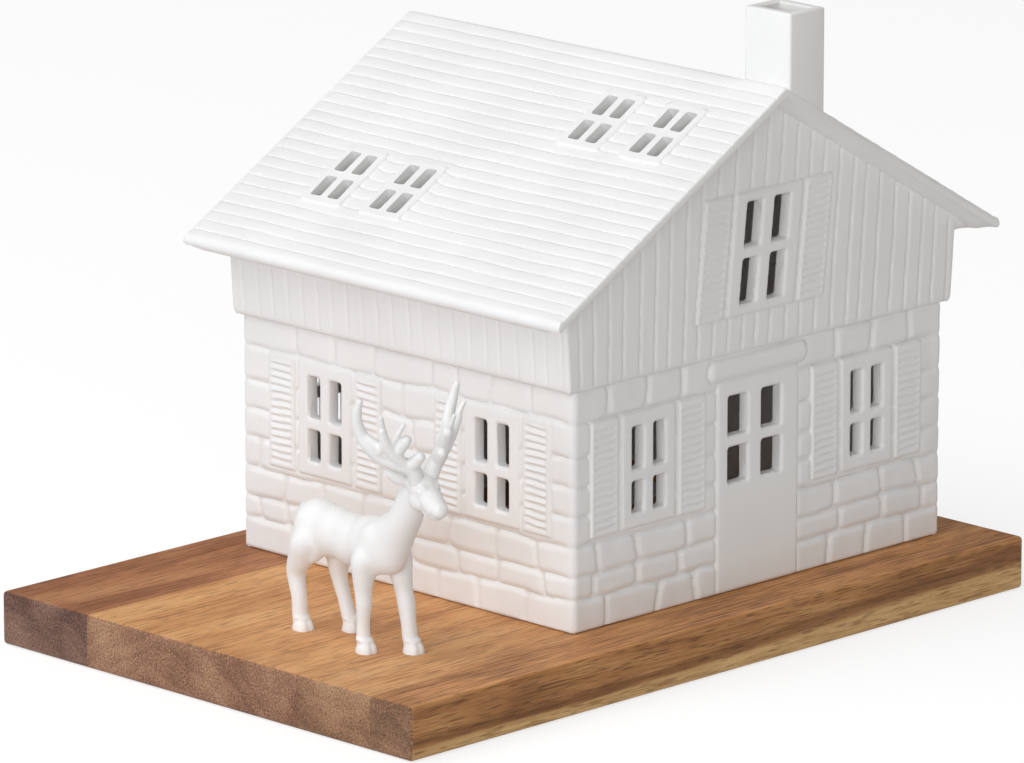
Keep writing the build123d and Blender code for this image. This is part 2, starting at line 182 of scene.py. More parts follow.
def speckle(tree, place, scale, detail=2.0, roughness=0.5, shift=(0.0, 0.0, 0.0)):
    """Cloudy noise whose grain can be stretched along one axis; scale is in grains per metre."""
    moved = add_node(tree, "ShaderNodeMapping", {"Vector": place, "Location": shift, "Scale": scale})
    sockets = {"Vector": moved.outputs[0], "Scale": 1.0, "Detail": detail, "Roughness": roughness}
    return add_node(tree, "ShaderNodeTexNoise", sockets).outputs["Fac"]


def new_finish(name):
    material = bpy.data.materials.new(name)
    material.use_nodes = True
    tree = material.node_tree
    place = add_node(tree, "ShaderNodeTexCoord").outputs["Object"]
    return material, tree, tree.nodes["Principled BSDF"], place


def wire_bump(tree, shader, height, strength, distance):
    sockets = {"Height": height, "Strength": strength, "Distance": distance}
    tree.links.new(add_node(tree, "ShaderNodeBump", sockets).outputs["Normal"], shader.inputs["Normal"])


def paint(tree, shader, pattern, stops, rough):
    """Colour and roughness of a shader from one pattern; rough holds soft_step's four numbers."""
    tree.links.new(colour_stops(tree, pattern, stops), shader.inputs["Base Color"])
    tree.links.new(soft_step(tree, pattern, *rough), shader.inputs["Roughness"])


print("node helpers ready")

# %% [markdown]
# The board is acacia, glued up from four staves that differ in colour: red-brown at the back, honey in the
# middle, browner towards the front, with pale sapwood along the lower front edge. The CAD staves already
# have the right shape, so they only get a finish. The wood is drawn in depth: growth rings about a pith
# that runs along the board, so the same rings make streaks on top and arcs on the sawn ends. Pores and
# fibres are noise stretched along the board, which turns into dots on the end grain by itself.

# %% Acacia
BOARD_END = cad_high.x


def acacia(name, tones, end_tones, pith, ring, seed, sapwood=False):
    """Wood with rings round a pith at (y, z); ring is their width in metres, tones run dark to light."""
    material, tree, shader, place = new_finish(name)
    xyz = add_node(tree, "ShaderNodeSeparateXYZ", {"Vector": place}).outputs
    sockets = {"Vector": place, "Location": (seed, -pith[0], -pith[1]), "Scale": (0.07, 1.0, 1.0)}
    log = add_node(tree, "ShaderNodeMapping", sockets).outputs[0]
    drift = add_node(tree, "ShaderNodeTexNoise",
                     {"Vector": log, "Scale": 42.0, "Detail": 2.0}).outputs["Color"]
    drift = add_node(tree, "ShaderNodeVectorMath", {0: drift, 1: (0.5, 0.5, 0.5)},
                     operation="SUBTRACT").outputs[0]
    drift = add_node(tree, "ShaderNodeVectorMath", {0: drift, "Scale": 0.022}, operation="SCALE").outputs[0]
    wavy = add_node(tree, "ShaderNodeVectorMath", {0: log, 1: drift}, operation="ADD").outputs[0]
    sockets = {"Vector": wavy, "Scale": 0.314 / ring, "Distortion": 2.2, "Detail": 3.0, "Detail Scale": 1.4}
    rings = add_node(tree, "ShaderNodeTexWave", sockets, wave_type="RINGS", rings_direction="X",
                     wave_profile="SAW").outputs["Fac"]
    broad = speckle(tree, wavy, (60.0, 55.0, 55.0), 2.0, 0.5, (seed, 0.0, 0.0))
    figure = speckle(tree, place, (26.0, 95.0, 95.0), 3.0, 0.6, (seed, seed, 0.0))
    fibre = speckle(tree, place, (34.0, 1000.0, 1000.0), 5.0, 0.72, (seed, 0.0, 0.0))
    pores = speckle(tree, place, (140.0, 2300.0, 2300.0), 1.0, 0.5, (0.0, seed, 0.0))
    dashes = soft_step(tree, pores, 0.56, 0.66)
    tone = math_node(tree, "MULTIPLY_ADD", rings, 0.06, math_node(tree, "MULTIPLY", broad, 0.28))
    tone = math_node(tree, "MULTIPLY_ADD", figure, 0.34, tone)
    tone = math_node(tree, "MULTIPLY_ADD", fibre, 0.44, tone)
    dark, middle, light = tones
    colour = colour_stops(tree, tone, [(0.43, dark), (0.56, middle), (0.68, light)])
    colour = mixed(tree, math_node(tree, "MULTIPLY", dashes, 0.50), colour, tuple(0.36 * c for c in dark))
    sawn = speckle(tree, place, (300.0, 1700.0, 1700.0), 3.0, 0.75, (0.0, 0.0, seed))
    bands = math_node(tree, "MULTIPLY_ADD", rings, 0.05, math_node(tree, "MULTIPLY", broad, 0.45))
    bands = math_node(tree, "MULTIPLY_ADD", sawn, 0.82, bands)
    end_colour = colour_stops(tree, bands, [(0.50, end_tones[0]), (0.66, end_tones[1]), (0.84, end_tones[2])])
    end_colour = mixed(tree, math_node(tree, "MULTIPLY", dashes, 0.55), end_colour, end_tones[0])
    from_end = math_node(tree, "ABSOLUTE", xyz["X"])
    end = soft_step(tree, from_end, BOARD_END - 0.0010, BOARD_END - 0.0003)
    if sapwood:
        # Painted shade: the front face of the board is darkened by a mix towards near black, for the shade it
        # stands in.
        front_face_shade = soft_step(tree, xyz["Y"], -0.0790, -0.0797)
        colour = mixed(tree, math_node(tree, "MULTIPLY", front_face_shade, 0.30), colour, (0.02, 0.01, 0.004))
        reach = soft_step(tree, xyz["X"], -0.12, 0.13, 0.0014, 0.0075)
        edge = math_node(tree, "SUBTRACT", xyz["Z"], reach)
        edge = math_node(tree, "MULTIPLY_ADD", math_node(tree, "SUBTRACT", broad, 0.5), 0.012, edge)
        edge = math_node(tree, "MULTIPLY_ADD", math_node(tree, "SUBTRACT", fibre, 0.5), 0.006, edge)
        stripe = colour_stops(tree, fibre, [(0.30, (0.42, 0.225, 0.085)), (0.58, (0.74, 0.48, 0.220))])
        stripe = mixed(tree, math_node(tree, "MULTIPLY", dashes, 0.5), stripe, tuple(0.7 * c for c in dark))
        shade = soft_step(tree, math_node(tree, "ABSOLUTE", math_node(tree, "SUBTRACT", edge, 0.0022)),
                          0.0026, 0.0004)
        colour = mixed(tree, math_node(tree, "MULTIPLY", shade, 0.55), colour, tuple(0.5 * c for c in dark))
        colour = mixed(tree, soft_step(tree, edge, 0.0009, -0.0007), colour, stripe)
    colour = mixed(tree, end, colour, end_colour)
    tree.links.new(colour, shader.inputs["Base Color"])
    tree.links.new(soft_step(tree, fibre, 0.25, 0.75, 0.62, 0.44), shader.inputs["Roughness"])
    shader.inputs["Specular IOR Level"].default_value = 0.22
    wire_bump(tree, shader, math_node(tree, "SUBTRACT", fibre, dashes), 0.25, 0.00025)
    return material


# %% The four staves
STAVES = {
    "board_stave_back": acacia(
        "acacia_back", ((0.26, 0.094, 0.036), (0.44, 0.183, 0.078), (0.55, 0.262, 0.118)),
        ((0.060, 0.030, 0.024), (0.19, 0.098, 0.070), (0.33, 0.20, 0.145)), (0.078, -0.035), 0.0048, 3.1),
    "board_stave_middle": acacia(
        "acacia_middle", ((0.42, 0.170, 0.055), (0.66, 0.322, 0.125), (0.78, 0.430, 0.183)),
        ((0.10, 0.045, 0.028), (0.29, 0.145, 0.085), (0.52, 0.31, 0.18)), (0.012, -0.042), 0.0062, 7.7),
    "board_stave_inner_front": acacia(
        "acacia_inner_front", ((0.37, 0.155, 0.050), (0.61, 0.295, 0.112), (0.76, 0.430, 0.190)),
        ((0.11, 0.055, 0.032), (0.30, 0.155, 0.085), (0.50, 0.30, 0.175)), (-0.040, -0.060), 0.0055, 1.9),
    "board_stave_front": acacia(
        "acacia_front", ((0.25, 0.100, 0.035), (0.62, 0.287, 0.106), (0.80, 0.425, 0.176)),
        ((0.085, 0.045, 0.028), (0.26, 0.135, 0.075), (0.44, 0.26, 0.155)), (-0.085, 0.040), 0.0042, 5.3,
        True),
}
for stave, finish in STAVES.items():
    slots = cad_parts[stave].data.materials
    slots.clear()
    slots.append(finish)
print("acacia on", len(STAVES), "staves")

# %% [markdown]
# The house is unglazed white porcelain: nearly white, matt and very finely grained. Down in the joints a
# painted shade makes it a touch warmer and darker, where little light reaches. A point attribute called
# groove is stored while the relief is shaped, and this finish reads it to paint that shade into the joints.

# %% Porcelain
def porcelain(name, bright, joint):
    """Matt white porcelain; bright is the open surface's colour and joint the colour of the painted shade
    deep in a groove.
    """
    material, tree, shader, place = new_finish(name)
    cloud = speckle(tree, place, (38.0, 38.0, 38.0), 3.0)
    grain = speckle(tree, place, (1700.0, 1700.0, 1700.0), 2.0, 0.6)
    pits = soft_step(tree, speckle(tree, place, (620.0, 620.0, 620.0), 1.0), 0.70, 0.80)
    deep = add_node(tree, "ShaderNodeAttribute", attribute_name="groove").outputs["Fac"]
    low = tuple(0.965 * c for c in bright)
    colour = colour_stops(tree, cloud, [(0.34, low), (0.66, bright)])
    # Painted shade: the colour is mixed towards the joint colour where the groove attribute is high.
    colour = mixed(tree, math_node(tree, "MULTIPLY", deep, 0.5), colour, joint)
    tree.links.new(colour, shader.inputs["Base Color"])
    tree.links.new(soft_step(tree, cloud, 0.3, 0.7, 0.50, 0.62), shader.inputs["Roughness"])
    shader.inputs["Specular IOR Level"].default_value = 0.35
    wire_bump(tree, shader, math_node(tree, "SUBTRACT", grain, pits), 0.16, 0.0001)
    return material


house_porcelain = porcelain("house_porcelain", (0.872, 0.866, 0.856), (0.770, 0.755, 0.735))
roof_porcelain = porcelain("roof_porcelain", (0.878, 0.874, 0.866), (0.800, 0.788, 0.770))
chimney_porcelain = porcelain("chimney_porcelain", (0.865, 0.860, 0.850), (0.700, 0.685, 0.665))
print("porcelain mixed for walls, roof and chimney")

# %% [markdown]
# The walls are one casting with its ornament pressed into it: rounded stones below, boards above, frames,
# louvred shutters, a door and a lintel. Such a soft relief is awkward to push about face by face, so each
# wall starts as a fine grid and its corners are moved in and out by a height that is worked out for every
# point. The grid's border is then extruded inwards and filled, which makes a closed wall of the real
# thickness, and the panes are cut with Boolean modifiers. Neighbouring walls meet on a mitre.

# %% Heights for the relief
PANE_EDGE = 0.9


def smooth_step(low, high, value):
    t = np.clip((value - low) / (high - low), 0.0, 1.0)
    return t * t * (3.0 - 2.0 * t)


def unevenness(points, size, seed):
    """Gentle random waves from -1 to 1, about size across; the same points always give the same height."""
    random = np.random.default_rng(seed)
    total = np.zeros(len(points))
    for _ in range(9):
        direction = random.normal(size=3)
        direction /= np.linalg.norm(direction)
        total += np.sin(points @ direction * (2.0 * math.pi / size) * random.uniform(0.55, 1.5)
                        + random.uniform(0.0, 2.0 * math.pi))
    return np.clip(total / 4.5, -1.0, 1.0)


def inside_by(across, up, box, radius):
    """How far a point lies inside a box (left, right, low, high) with rounded corners; negative outside."""
    left, right, low, high = box
    over_x = np.maximum(left - across, across - right) + radius
    over_z = np.maximum(low - up, up - high) + radius
    outside = np.hypot(np.maximum(over_x, 0.0), np.maximum(over_z, 0.0))
    return radius - outside - np.minimum(np.maximum(over_x, over_z), 0.0)


def raised(height, groove, inside, level, edge=1.0, moat=0.35):
    """Lay a plate of a level over the relief, its edge rolled over, with a groove pressed round it."""
    cover = smooth_step(-0.35, 0.25, inside)
    ring = np.exp(-(np.minimum(inside, 0.0) / 0.65) ** 2)
    rolled = level - (level + moat) * (1.0 - np.clip((inside + 0.25) / edge, 0.0, 1.0)) ** 2
    height = (height - moat * ring) * (1.0 - cover) + rolled * cover
    # groove also marks the moat round a plate, for painted shade in the finish.
    return height, np.maximum(groove * (1.0 - cover), 0.8 * ring * (1.0 - smooth_step(0.0, 0.5, inside)))


def hollowed(height, inside):
    """Round the edge of an opening over into its depth."""
    near = np.clip(-inside / PANE_EDGE, 0.0, 1.0)
    return height - PANE_EDGE * (1.0 - np.sqrt(1.0 - (1.0 - near) ** 2))


print("relief helpers ready")

# %% Window, shutter and door plates
PANE_RADIUS = 0.75
SHUTTER_WIDTH = 10.5
SHUTTER_GAP = 1.3
SHUTTER_BORDER = 1.3
LOUVRE_PITCH = 2.1
STONE_WINDOW = dict(pane=4.5, mullion=3.8, lower=9.0, transom=3.2, upper=12.0, stile=4.0, rail=4.0)
LOFT_WINDOW = dict(pane=6.2, mullion=4.6, lower=12.7, transom=3.0, upper=12.7, stile=4.8, rail=2.8)
DOOR_PANES = dict(pane=7.8, mullion=5.4, lower=10.2, transom=3.0, upper=11.4)


def pane_boxes(window, middle, sill):
    """The four openings of a window as (left, right, low, high), above the lower panes' sill."""
    boxes = []
    for side in (-1, 1):
        centre = middle + side * (window["pane"] + window["mullion"]) / 2
        for low, tall in ((0.0, window["lower"]), (window["lower"] + window["transom"], window["upper"])):
            boxes.append((centre - window["pane"] / 2, centre + window["pane"] / 2, sill + low,
                          sill + low + tall))
    return boxes


def window_boxes(window, middle, low):
    """Frame box, the two shutter boxes and the panes of a window whose frame stands at a height."""
    half = window["pane"] + window["mullion"] / 2 + window["stile"]
    high = low + window["lower"] + window["transom"] + window["upper"] + 2 * window["rail"]
    shutters = []
    for side in (-1, 1):
        near = middle + side * (half + SHUTTER_GAP)
        far = near + side * SHUTTER_WIDTH
        shutters.append((min(near, far), max(near, far), low, high))
    panes = pane_boxes(window, middle, low + window["rail"])
    return (middle - half, middle + half, low, high), shutters, panes


def louvres(height, groove, across, up, points, box, seed):
    """A shutter: a plain border, and slats between it that were cut by hand and lean out at their foot."""
    inside = inside_by(across, up, box, 0.6)
    height, groove = raised(height, groove, inside, 0.45, 0.9, 0.3)
    field = smooth_step(SHUTTER_BORDER - 0.3, SHUTTER_BORDER + 0.5, inside)
    wander = 0.30 * unevenness(points, 13.0, seed)
    turn = ((up - box[2] + wander) / LOUVRE_PITCH) % 1.0
    slat = smooth_step(0.0, 0.40, turn) * (1.0 - smooth_step(0.40, 1.0, turn))
    deep = 0.85 + 0.15 * unevenness(points, 9.0, seed + 1)
    height = height + field * deep * (0.62 * slat - 0.45)
    # The louvre joints are marked in groove, for painted shade in the finish.
    joint = 1.0 - smooth_step(0.0, 0.18, np.minimum(turn, 1.0 - turn))
    return height, np.maximum(groove, 0.6 * field * joint)


def dress_window(height, groove, across, up, points, window, middle, low, seed):
    """Lay a window's frame and shutters over the relief and round the edges of its panes."""
    frame_box, shutter_boxes, panes = window_boxes(window, middle, low)
    for number, box in enumerate(shutter_boxes):
        height, groove = louvres(height, groove, across, up, points, box, seed + 10 * number)
    height, groove = raised(height, groove, inside_by(across, up, frame_box, 0.8), 0.40, 1.0, 0.3)
    for box in panes:
        height = hollowed(height, inside_by(across, up, box, PANE_RADIUS))
    return height, groove, panes


print("one window frame:", window_boxes(STONE_WINDOW, 0.0, 0.0)[0])

# %% [markdown]
# The stones lie in eight courses that run round all four walls, so a corner stone turns the corner. Joints
# follow the photograph on the two walls that it shows, and the other two are laid in the same bond. Each
# stone is a box with rounded corners whose distance to its own edge gives a pillow with a soft groove
# round it; slow waves bend the joints, and every stone sits a little differently.

# %% Stone courses
STONE_HEIGHT = 67.0
STONE_TUCK = 0.5
COURSES = [-9.0, 9.0, 15.7, 24.0, 32.0, 40.1, 48.6, 58.0, STONE_HEIGHT + STONE_TUCK]
FRONT_JOINTS = [
    [12.6, 32.2, 48.4, 100.4, 115.6, 132.3], [8.0, 24.8, 41.4, 105.7, 122.8, 139.2],
    [9.5, 25.1, 44.1, 103.4, 122.0, 136.7], [], [], [], [], [13.8, 28.9, 42.4, 103.3, 117.9, 133.0],
]
SIDE_JOINTS = [
    [19.0, 36.0, 52.5, 70.5, 89.0, 108.0], [11.8, 29.4, 44.5, 62.0, 79.5, 96.5, 111.5, 122.4],
    [14.3, 29.8, 47.8, 64.0, 81.0, 96.6, 112.8], [63.0, 122.4], [67.0], [61.5], [66.0],
    [16.8, 32.0, 44.7, 54.0, 77.0, 92.4, 107.8],
]
DOOR_GAP_JOINTS = [
    [65.5, 83.0], [57.0, 73.0, 89.5], [60.5, 76.5, 91.0], [62.0, 77.0, 87.5], [58.5, 71.0, 84.5],
    [64.0, 79.0], [60.0, 74.5, 87.0], [56.5, 71.0, 87.5],
]
BACK_JOINTS = [sorted(row + gap) for row, gap in zip(FRONT_JOINTS, DOOR_GAP_JOINTS)]
STONE_EDGE = 1.9
STONE_CORNER = 2.2
JOINT_DEPTH = 0.85


def stones(across, up, points, length, joints, seed):
    """Relief of the coursed stones, and how deep each point lies in a joint."""
    bent_up = up + 0.55 * unevenness(points, 26.0, 11) + 0.20 * unevenness(points, 7.0, 12)
    bent_across = across + 0.35 * unevenness(points, 12.0, 13)
    course = np.searchsorted(COURSES[1:-1], bent_up)
    random = np.random.default_rng(seed)
    from_corner = np.minimum(across, length - across)
    height = np.zeros(len(points))
    groove = np.zeros(len(points))
    for number in range(len(COURSES) - 1):
        here = np.flatnonzero(course == number)
        ends = np.array([-9.0, *joints[number], length + 9.0])
        slant = random.uniform(-0.20, 0.20, len(ends))
        slant[[0, -1]] = 0.0
        rise = bent_up[here] - (COURSES[number] + COURSES[number + 1]) / 2
        lines = ends + np.outer(rise, slant)
        stone = np.clip((bent_across[here, None] > lines).sum(axis=1), 1, len(ends) - 1)
        row = np.arange(len(here))
        box = (lines[row, stone - 1], lines[row, stone], COURSES[number], COURSES[number + 1])
        inside = inside_by(bent_across[here], bent_up[here], box, STONE_CORNER)
        sits = random.uniform(-0.14, 0.08, len(ends))[stone]
        leans = random.uniform(-0.020, 0.020, len(ends))[stone] * (bent_across[here] - (box[0] + box[1]) / 2)
        loose = smooth_step(1.0, 6.0, from_corner[here])
        pressed = (1.0 - np.clip(inside / STONE_EDGE, 0.0, 1.0)) ** 2 * (0.4 + 0.6 * loose)
        height[here] = loose * (sits + np.clip(leans, -0.14, 0.14)) - JOINT_DEPTH * pressed
        # groove marks the stone joints, for painted shade in the finish.
        groove[here] = (1.0 - smooth_step(0.05, 0.75, inside)) * (0.4 + 0.6 * loose)
    return height + 0.06 * unevenness(points, 8.0, 14), groove


print(len(COURSES) - 1, "courses,", sum(map(len, FRONT_JOINTS)), "upright joints in the front wall")

# %% Make a wall from a grid
WALL = 3.3
SPACING = 0.45
STONE_WALL_CORNER, STONE_LIP = 2.0, (1.3, 1.1)
BOARD_CORNER, BOARD_LIP = 0.9, (2.4, 1.1)


def grid_sheet(name, columns, rows):
    """A flat grid of columns by rows of points, to be shaped."""
    put_down()
    bpy.ops.mesh.primitive_grid_add(x_subdivisions=columns - 1, y_subdivisions=rows - 1, size=1)
    piece = bpy.context.object
    piece.name = piece.data.name = name
    return piece


def write_points(piece, points):
    """Write points given in the house's frame into the mesh."""
    piece.data.vertices.foreach_set("co", ((points + HOUSE) * MM).astype(np.float32).ravel())
    piece.data.update()


def read_points(piece):
    flat = np.zeros(3 * len(piece.data.vertices), np.float32)
    piece.data.vertices.foreach_get("co", flat)
    return flat.reshape(-1, 3).astype(float) / MM - HOUSE


# The groove attribute is the mask of the painted shade in the joints, read by the porcelain finish.
def store_groove_shade(piece, groove):
    piece.data.attributes.new("groove", "FLOAT", "POINT").data.foreach_set("value", groove.astype(np.float32))


def close_behind(piece, inner):
    """Extrude the open border to the points that inner gives, and fill the back."""
    pick_up(piece)
    bpy.ops.object.mode_set(mode="EDIT")
    bpy.ops.mesh.select_mode(type="EDGE")
    bpy.ops.mesh.select_all(action="DESELECT")
    bpy.ops.mesh.select_non_manifold(extend=False, use_wire=False, use_boundary=True, use_multi_face=False,
                                     use_non_contiguous=False, use_verts=False)
    bpy.ops.mesh.extrude_region_move()
    bpy.ops.object.mode_set(mode="OBJECT")
    chosen = np.zeros(len(piece.data.vertices), bool)
    piece.data.vertices.foreach_get("select", chosen)
    points = read_points(piece)
    points[chosen] = inner(points[chosen])
    write_points(piece, points)
    bpy.ops.object.mode_set(mode="EDIT")
    bpy.ops.mesh.edge_face_add()
    bpy.ops.mesh.select_all(action="SELECT")
    bpy.ops.mesh.normals_make_consistent(inside=False)
    bpy.ops.object.mode_set(mode="OBJECT")


def shaped_wall(name, along, out, low, high, half, face, corner, lip, relief, trim=None):
    """A wall that runs along and faces out; half and face give its half length and distance by height.
    Its lower edge is rolled in over a height and a depth, the two numbers of lip."""
    lip_high, lip_deep = lip
    rows = int((high - low) / (SPACING * 0.9))
    rim = np.array([0.0, 0.12, 0.25, 0.4, 0.6, 0.85]) / half(low)
    middle = np.linspace(-1.0 + 1.2 / half(low), 1.0 - 1.2 / half(low), int(2 * half(low) / SPACING))
    stations = np.concatenate([rim - 1.0, middle, 1.0 - rim[::-1]])
    piece = grid_sheet(name, len(stations), rows)
    part, level = np.meshgrid(stations, np.linspace(low, high, rows))
    part, level = part.ravel(), level.ravel()
    reach = half(level)
    across = part * (reach - (1.0 - math.sqrt(0.5)) * corner)
    lean = np.clip((corner - (reach - np.abs(across))) / corner, 0.0, 1.0)
    under = np.clip((lip_high - (level - low)) / lip_high, 0.0, 1.0)
    depth = corner * (1.0 - np.sqrt(1.0 - lean ** 2)) + lip_deep * (1.0 - np.sqrt(1.0 - under ** 2))
    sideways = lean * np.sign(across)
    points = np.outer(across, along) + np.outer(face(level) - depth, out)
    points[:, 2] += level
    height, groove = relief(across, level, points)
    height = height * (1.0 - 0.8 * under)
    points += np.outer(height * sideways, along) + np.outer(height * np.sqrt(1.0 - lean ** 2), out)
    write_points(piece, points)
    store_groove_shade(piece, groove)
    if trim:
        trim(piece)

    def inner(border):
        level = border[:, 2]
        across = border @ along * (half(level) - WALL) / half(level)
        inside = np.outer(across, along) + np.outer(face(level) - WALL, out)
        inside[:, 2] += level
        return inside

    close_behind(piece, inner)
    return piece


# %% [markdown]
# A pane was cut by hand out of the soft clay, so its corners are a little round and no two are quite alike.
# One block with bevelled corners is modelled for each size, then copied to every pane of that size, each
# copy turned and stretched by a hair, and the copies are taken out of the wall in one Boolean cut.

# %% Cut the panes
def pane_block(width, tall, deep):
    """A block as wide and tall as a pane, long along Y, with its four long edges rounded."""
    put_down()
    bpy.ops.mesh.primitive_cube_add(size=1.0)
    block = bpy.context.object
    block.scale = (width * MM, deep * MM, tall * MM)
    bpy.ops.object.transform_apply(location=False, rotation=False, scale=True)
    bpy.ops.object.mode_set(mode="EDIT")
    bpy.ops.mesh.select_mode(type="EDGE")
    bpy.ops.mesh.select_all(action="DESELECT")
    bpy.ops.object.mode_set(mode="OBJECT")
    for edge in block.data.edges:
        first, second = (block.data.vertices[v].co for v in edge.vertices)
        edge.select = abs(first.y - second.y) > 0.5 * deep * MM
    bpy.ops.object.mode_set(mode="EDIT")
    bpy.ops.mesh.bevel(offset=PANE_RADIUS * MM, segments=3, affect="EDGES")
    bpy.ops.object.mode_set(mode="OBJECT")
    return block


def cut_panes(piece, boxes, place, deep, seed):
    """Cut boxes (left, right, low, high) through a piece; place turns wall measures into the frame."""
    random = np.random.default_rng(seed)
    models, copies = {}, []
    for left, right, low, high in boxes:
        size = (round(right - left, 3), round(high - low, 3))
        if size not in models:
            models[size] = pane_block(*size, deep)
        copy = models[size].copy()
        copy.data = models[size].data.copy()
        bpy.context.collection.objects.link(copy)
        turn = Matrix.Rotation(random.uniform(-0.03, 0.03), 4, "Y")
        stretch = Matrix.Diagonal((random.uniform(0.97, 1.03), 1.0, random.uniform(0.98, 1.02), 1.0))
        copy.data.transform(place((left + right) / 2, (low + high) / 2) @ turn @ stretch)
        copies.append(copy)
    for model in models.values():
        bpy.data.objects.remove(model)
    put_down()
    for copy in copies:
        copy.select_set(True)
    bpy.context.view_layer.objects.active = copies[0]
    if len(copies) > 1:
        bpy.ops.object.join()
    cutter = bpy.context.view_layer.objects.active
    apply_modifier(piece, "BOOLEAN", operation="DIFFERENCE", solver="MANIFOLD", object=cutter)
    bpy.data.objects.remove(cutter)


def on_wall(along, out, face, lean=0.0, about=0.0):
    """Place of a pane on a wall: its width runs along the wall, and it may lean sideways about a height."""
    def place(across, up):
        spot = (across + lean * (up - about)) * along + face(up) * out + np.array([0.0, 0.0, up])
        turned = Matrix((along, -out, (0.0, 0.0, 1.0))).transposed().to_4x4()
        slanted = Matrix.Identity(4)
        slanted[0][2] = lean
        return Matrix.Translation(Vector((spot + HOUSE) * MM)) @ turned @ slanted
    return place


def finish_piece(piece, material, body, nodes, angle=38.0):
    """Give a made piece its finish and shading and set it on its body in place of the CAD nodes."""
    pick_up(piece)
    piece.data.materials.clear()
    piece.data.materials.append(material)
    bpy.ops.object.shade_smooth_by_angle(angle=math.radians(angle))
    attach(piece, body)
    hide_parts(*nodes)
    print(piece.name, len(piece.data.vertices), "points")


# %% Stone storey
HOUSE_WIDTH, HOUSE_DEPTH = 146.5, 129.0
WINDOW_SILL = 25.5
DOOR_OFFSET, DOOR_WIDTH, DOOR_HEIGHT, DOOR_SILL = -1.4, 32.0, 60.0, 30.7
DOOR_PANE_SHIFT = -1.2
LINTEL_WIDTH, LINTEL_HEIGHT = 39.4, 6.2
FACINGS = {
    "front": ((1.0, 0.0, 0.0), (0.0, -1.0, 0.0), HOUSE_WIDTH, HOUSE_DEPTH, FRONT_JOINTS, (-44.35, 42.15)),
    "right": ((0.0, 1.0, 0.0), (1.0, 0.0, 0.0), HOUSE_DEPTH, HOUSE_WIDTH, SIDE_JOINTS, (-33.7, 31.3)),
    "back": ((-1.0, 0.0, 0.0), (0.0, 1.0, 0.0), HOUSE_WIDTH, HOUSE_DEPTH, BACK_JOINTS, (-44.35, 42.15)),
    "left": ((0.0, -1.0, 0.0), (-1.0, 0.0, 0.0), HOUSE_DEPTH, HOUSE_WIDTH,
             [sorted(HOUSE_DEPTH - joint for joint in row) for row in SIDE_JOINTS], (-31.3, 33.7)),
}


def dress_door(height, groove, across, up):
    """The door leaf, its lintel stone and the round edges of its panes."""
    left, right = DOOR_OFFSET - DOOR_WIDTH / 2, DOOR_OFFSET + DOOR_WIDTH / 2
    inside = inside_by(across, up, (left, right, -9.0, DOOR_HEIGHT), 0.6)
    height, groove = raised(height, groove, inside, 0.15, 1.0, 0.5)
    half = LINTEL_WIDTH / 2
    box = (DOOR_OFFSET - half, DOOR_OFFSET + half, DOOR_HEIGHT, DOOR_HEIGHT + LINTEL_HEIGHT)
    height, groove = raised(height, groove, inside_by(across, up, box, 2.8), 0.75, 2.4, 0.5)
    panes = pane_boxes(DOOR_PANES, DOOR_OFFSET + DOOR_PANE_SHIFT, DOOR_SILL)
    for pane in panes:
        height = hollowed(height, inside_by(across, up, pane, PANE_RADIUS))
    return height, groove, panes


for number, (side, (along, out, length, across_house, joints, middles)) in enumerate(FACINGS.items()):
    along, out = np.array(along), np.array(out)
    openings = []

    def relief(across, up, points):
        height, groove = stones(across + length / 2, up, points, length, joints, 40 + number)
        for hand, middle in enumerate(middles):
            height, groove, panes = dress_window(height, groove, across, up, points, STONE_WINDOW, middle,
                                                 WINDOW_SILL, 30 + 60 * hand + number)
            openings.extend(panes)
        if side == "front":
            height, groove, panes = dress_door(height, groove, across, up)
            openings.extend(panes)
        return height, groove

    def half(level):
        return 0.0 * level + length / 2

    def face(level):
        return 0.0 * level + across_house / 2

    wall = shaped_wall("stone_wall_" + side, along, out, 0.0, STONE_HEIGHT + STONE_TUCK, half, face,
                       STONE_WALL_CORNER, STONE_LIP, relief)
    cut_panes(wall, openings, on_wall(along, out, face), 4.0 * WALL, 80 + number)
    finish_piece(wall, house_porcelain, "house", ["house_walls"])

# %% [markdown]
# Above the stones the house is boarded. The boards stand a little proud of the stone, with a rolled lower
# edge, and the two side bands lean outwards by four degrees. The gables stand upright and run on up to the
# roof: their grids are cut off along both slopes with Bisect, hidden inside the roof. Board joints are soft
# grooves about six millimetres apart. They were drawn by hand and spread like a fan towards the corners.

# %% Boarded storey
TIMBER_HEIGHT = 19.4
BAND_TUCK = 5.2
SIDE_OVERHANG, END_OVERHANG = 2.4, 1.0
FLARE = math.tan(math.radians(4.0))
EAVE_OVERHANG, EAVE_THICKNESS, VERGE_OVERHANG = 14.0, 3.0, 8.3
ROOF_RISE, ROOF_THICKNESS = 50.8, 4.0
SOFFIT = STONE_HEIGHT + TIMBER_HEIGHT
EAVE_TOP = SOFFIT + EAVE_THICKNESS
RIDGE = EAVE_TOP + ROOF_RISE
HALF_SPAN = HOUSE_WIDTH / 2 + EAVE_OVERHANG
PITCH = math.atan2(ROOF_RISE, HALF_SPAN)
CEILING = RIDGE - ROOF_THICKNESS / math.cos(PITCH)
LOFT_SILL = STONE_HEIGHT + 10.7
LOFT_OFFSET, LOFT_LEAN, LOFT_MIDDLE = -0.2, 0.11, STONE_HEIGHT + 27.7
BOARD_PITCH = 5.9
FAN = ([-77.0, -60.0, -35.0, 0.0, 40.0, 77.0], [-0.06, 0.0, 0.03, 0.09, 0.08, 0.06])


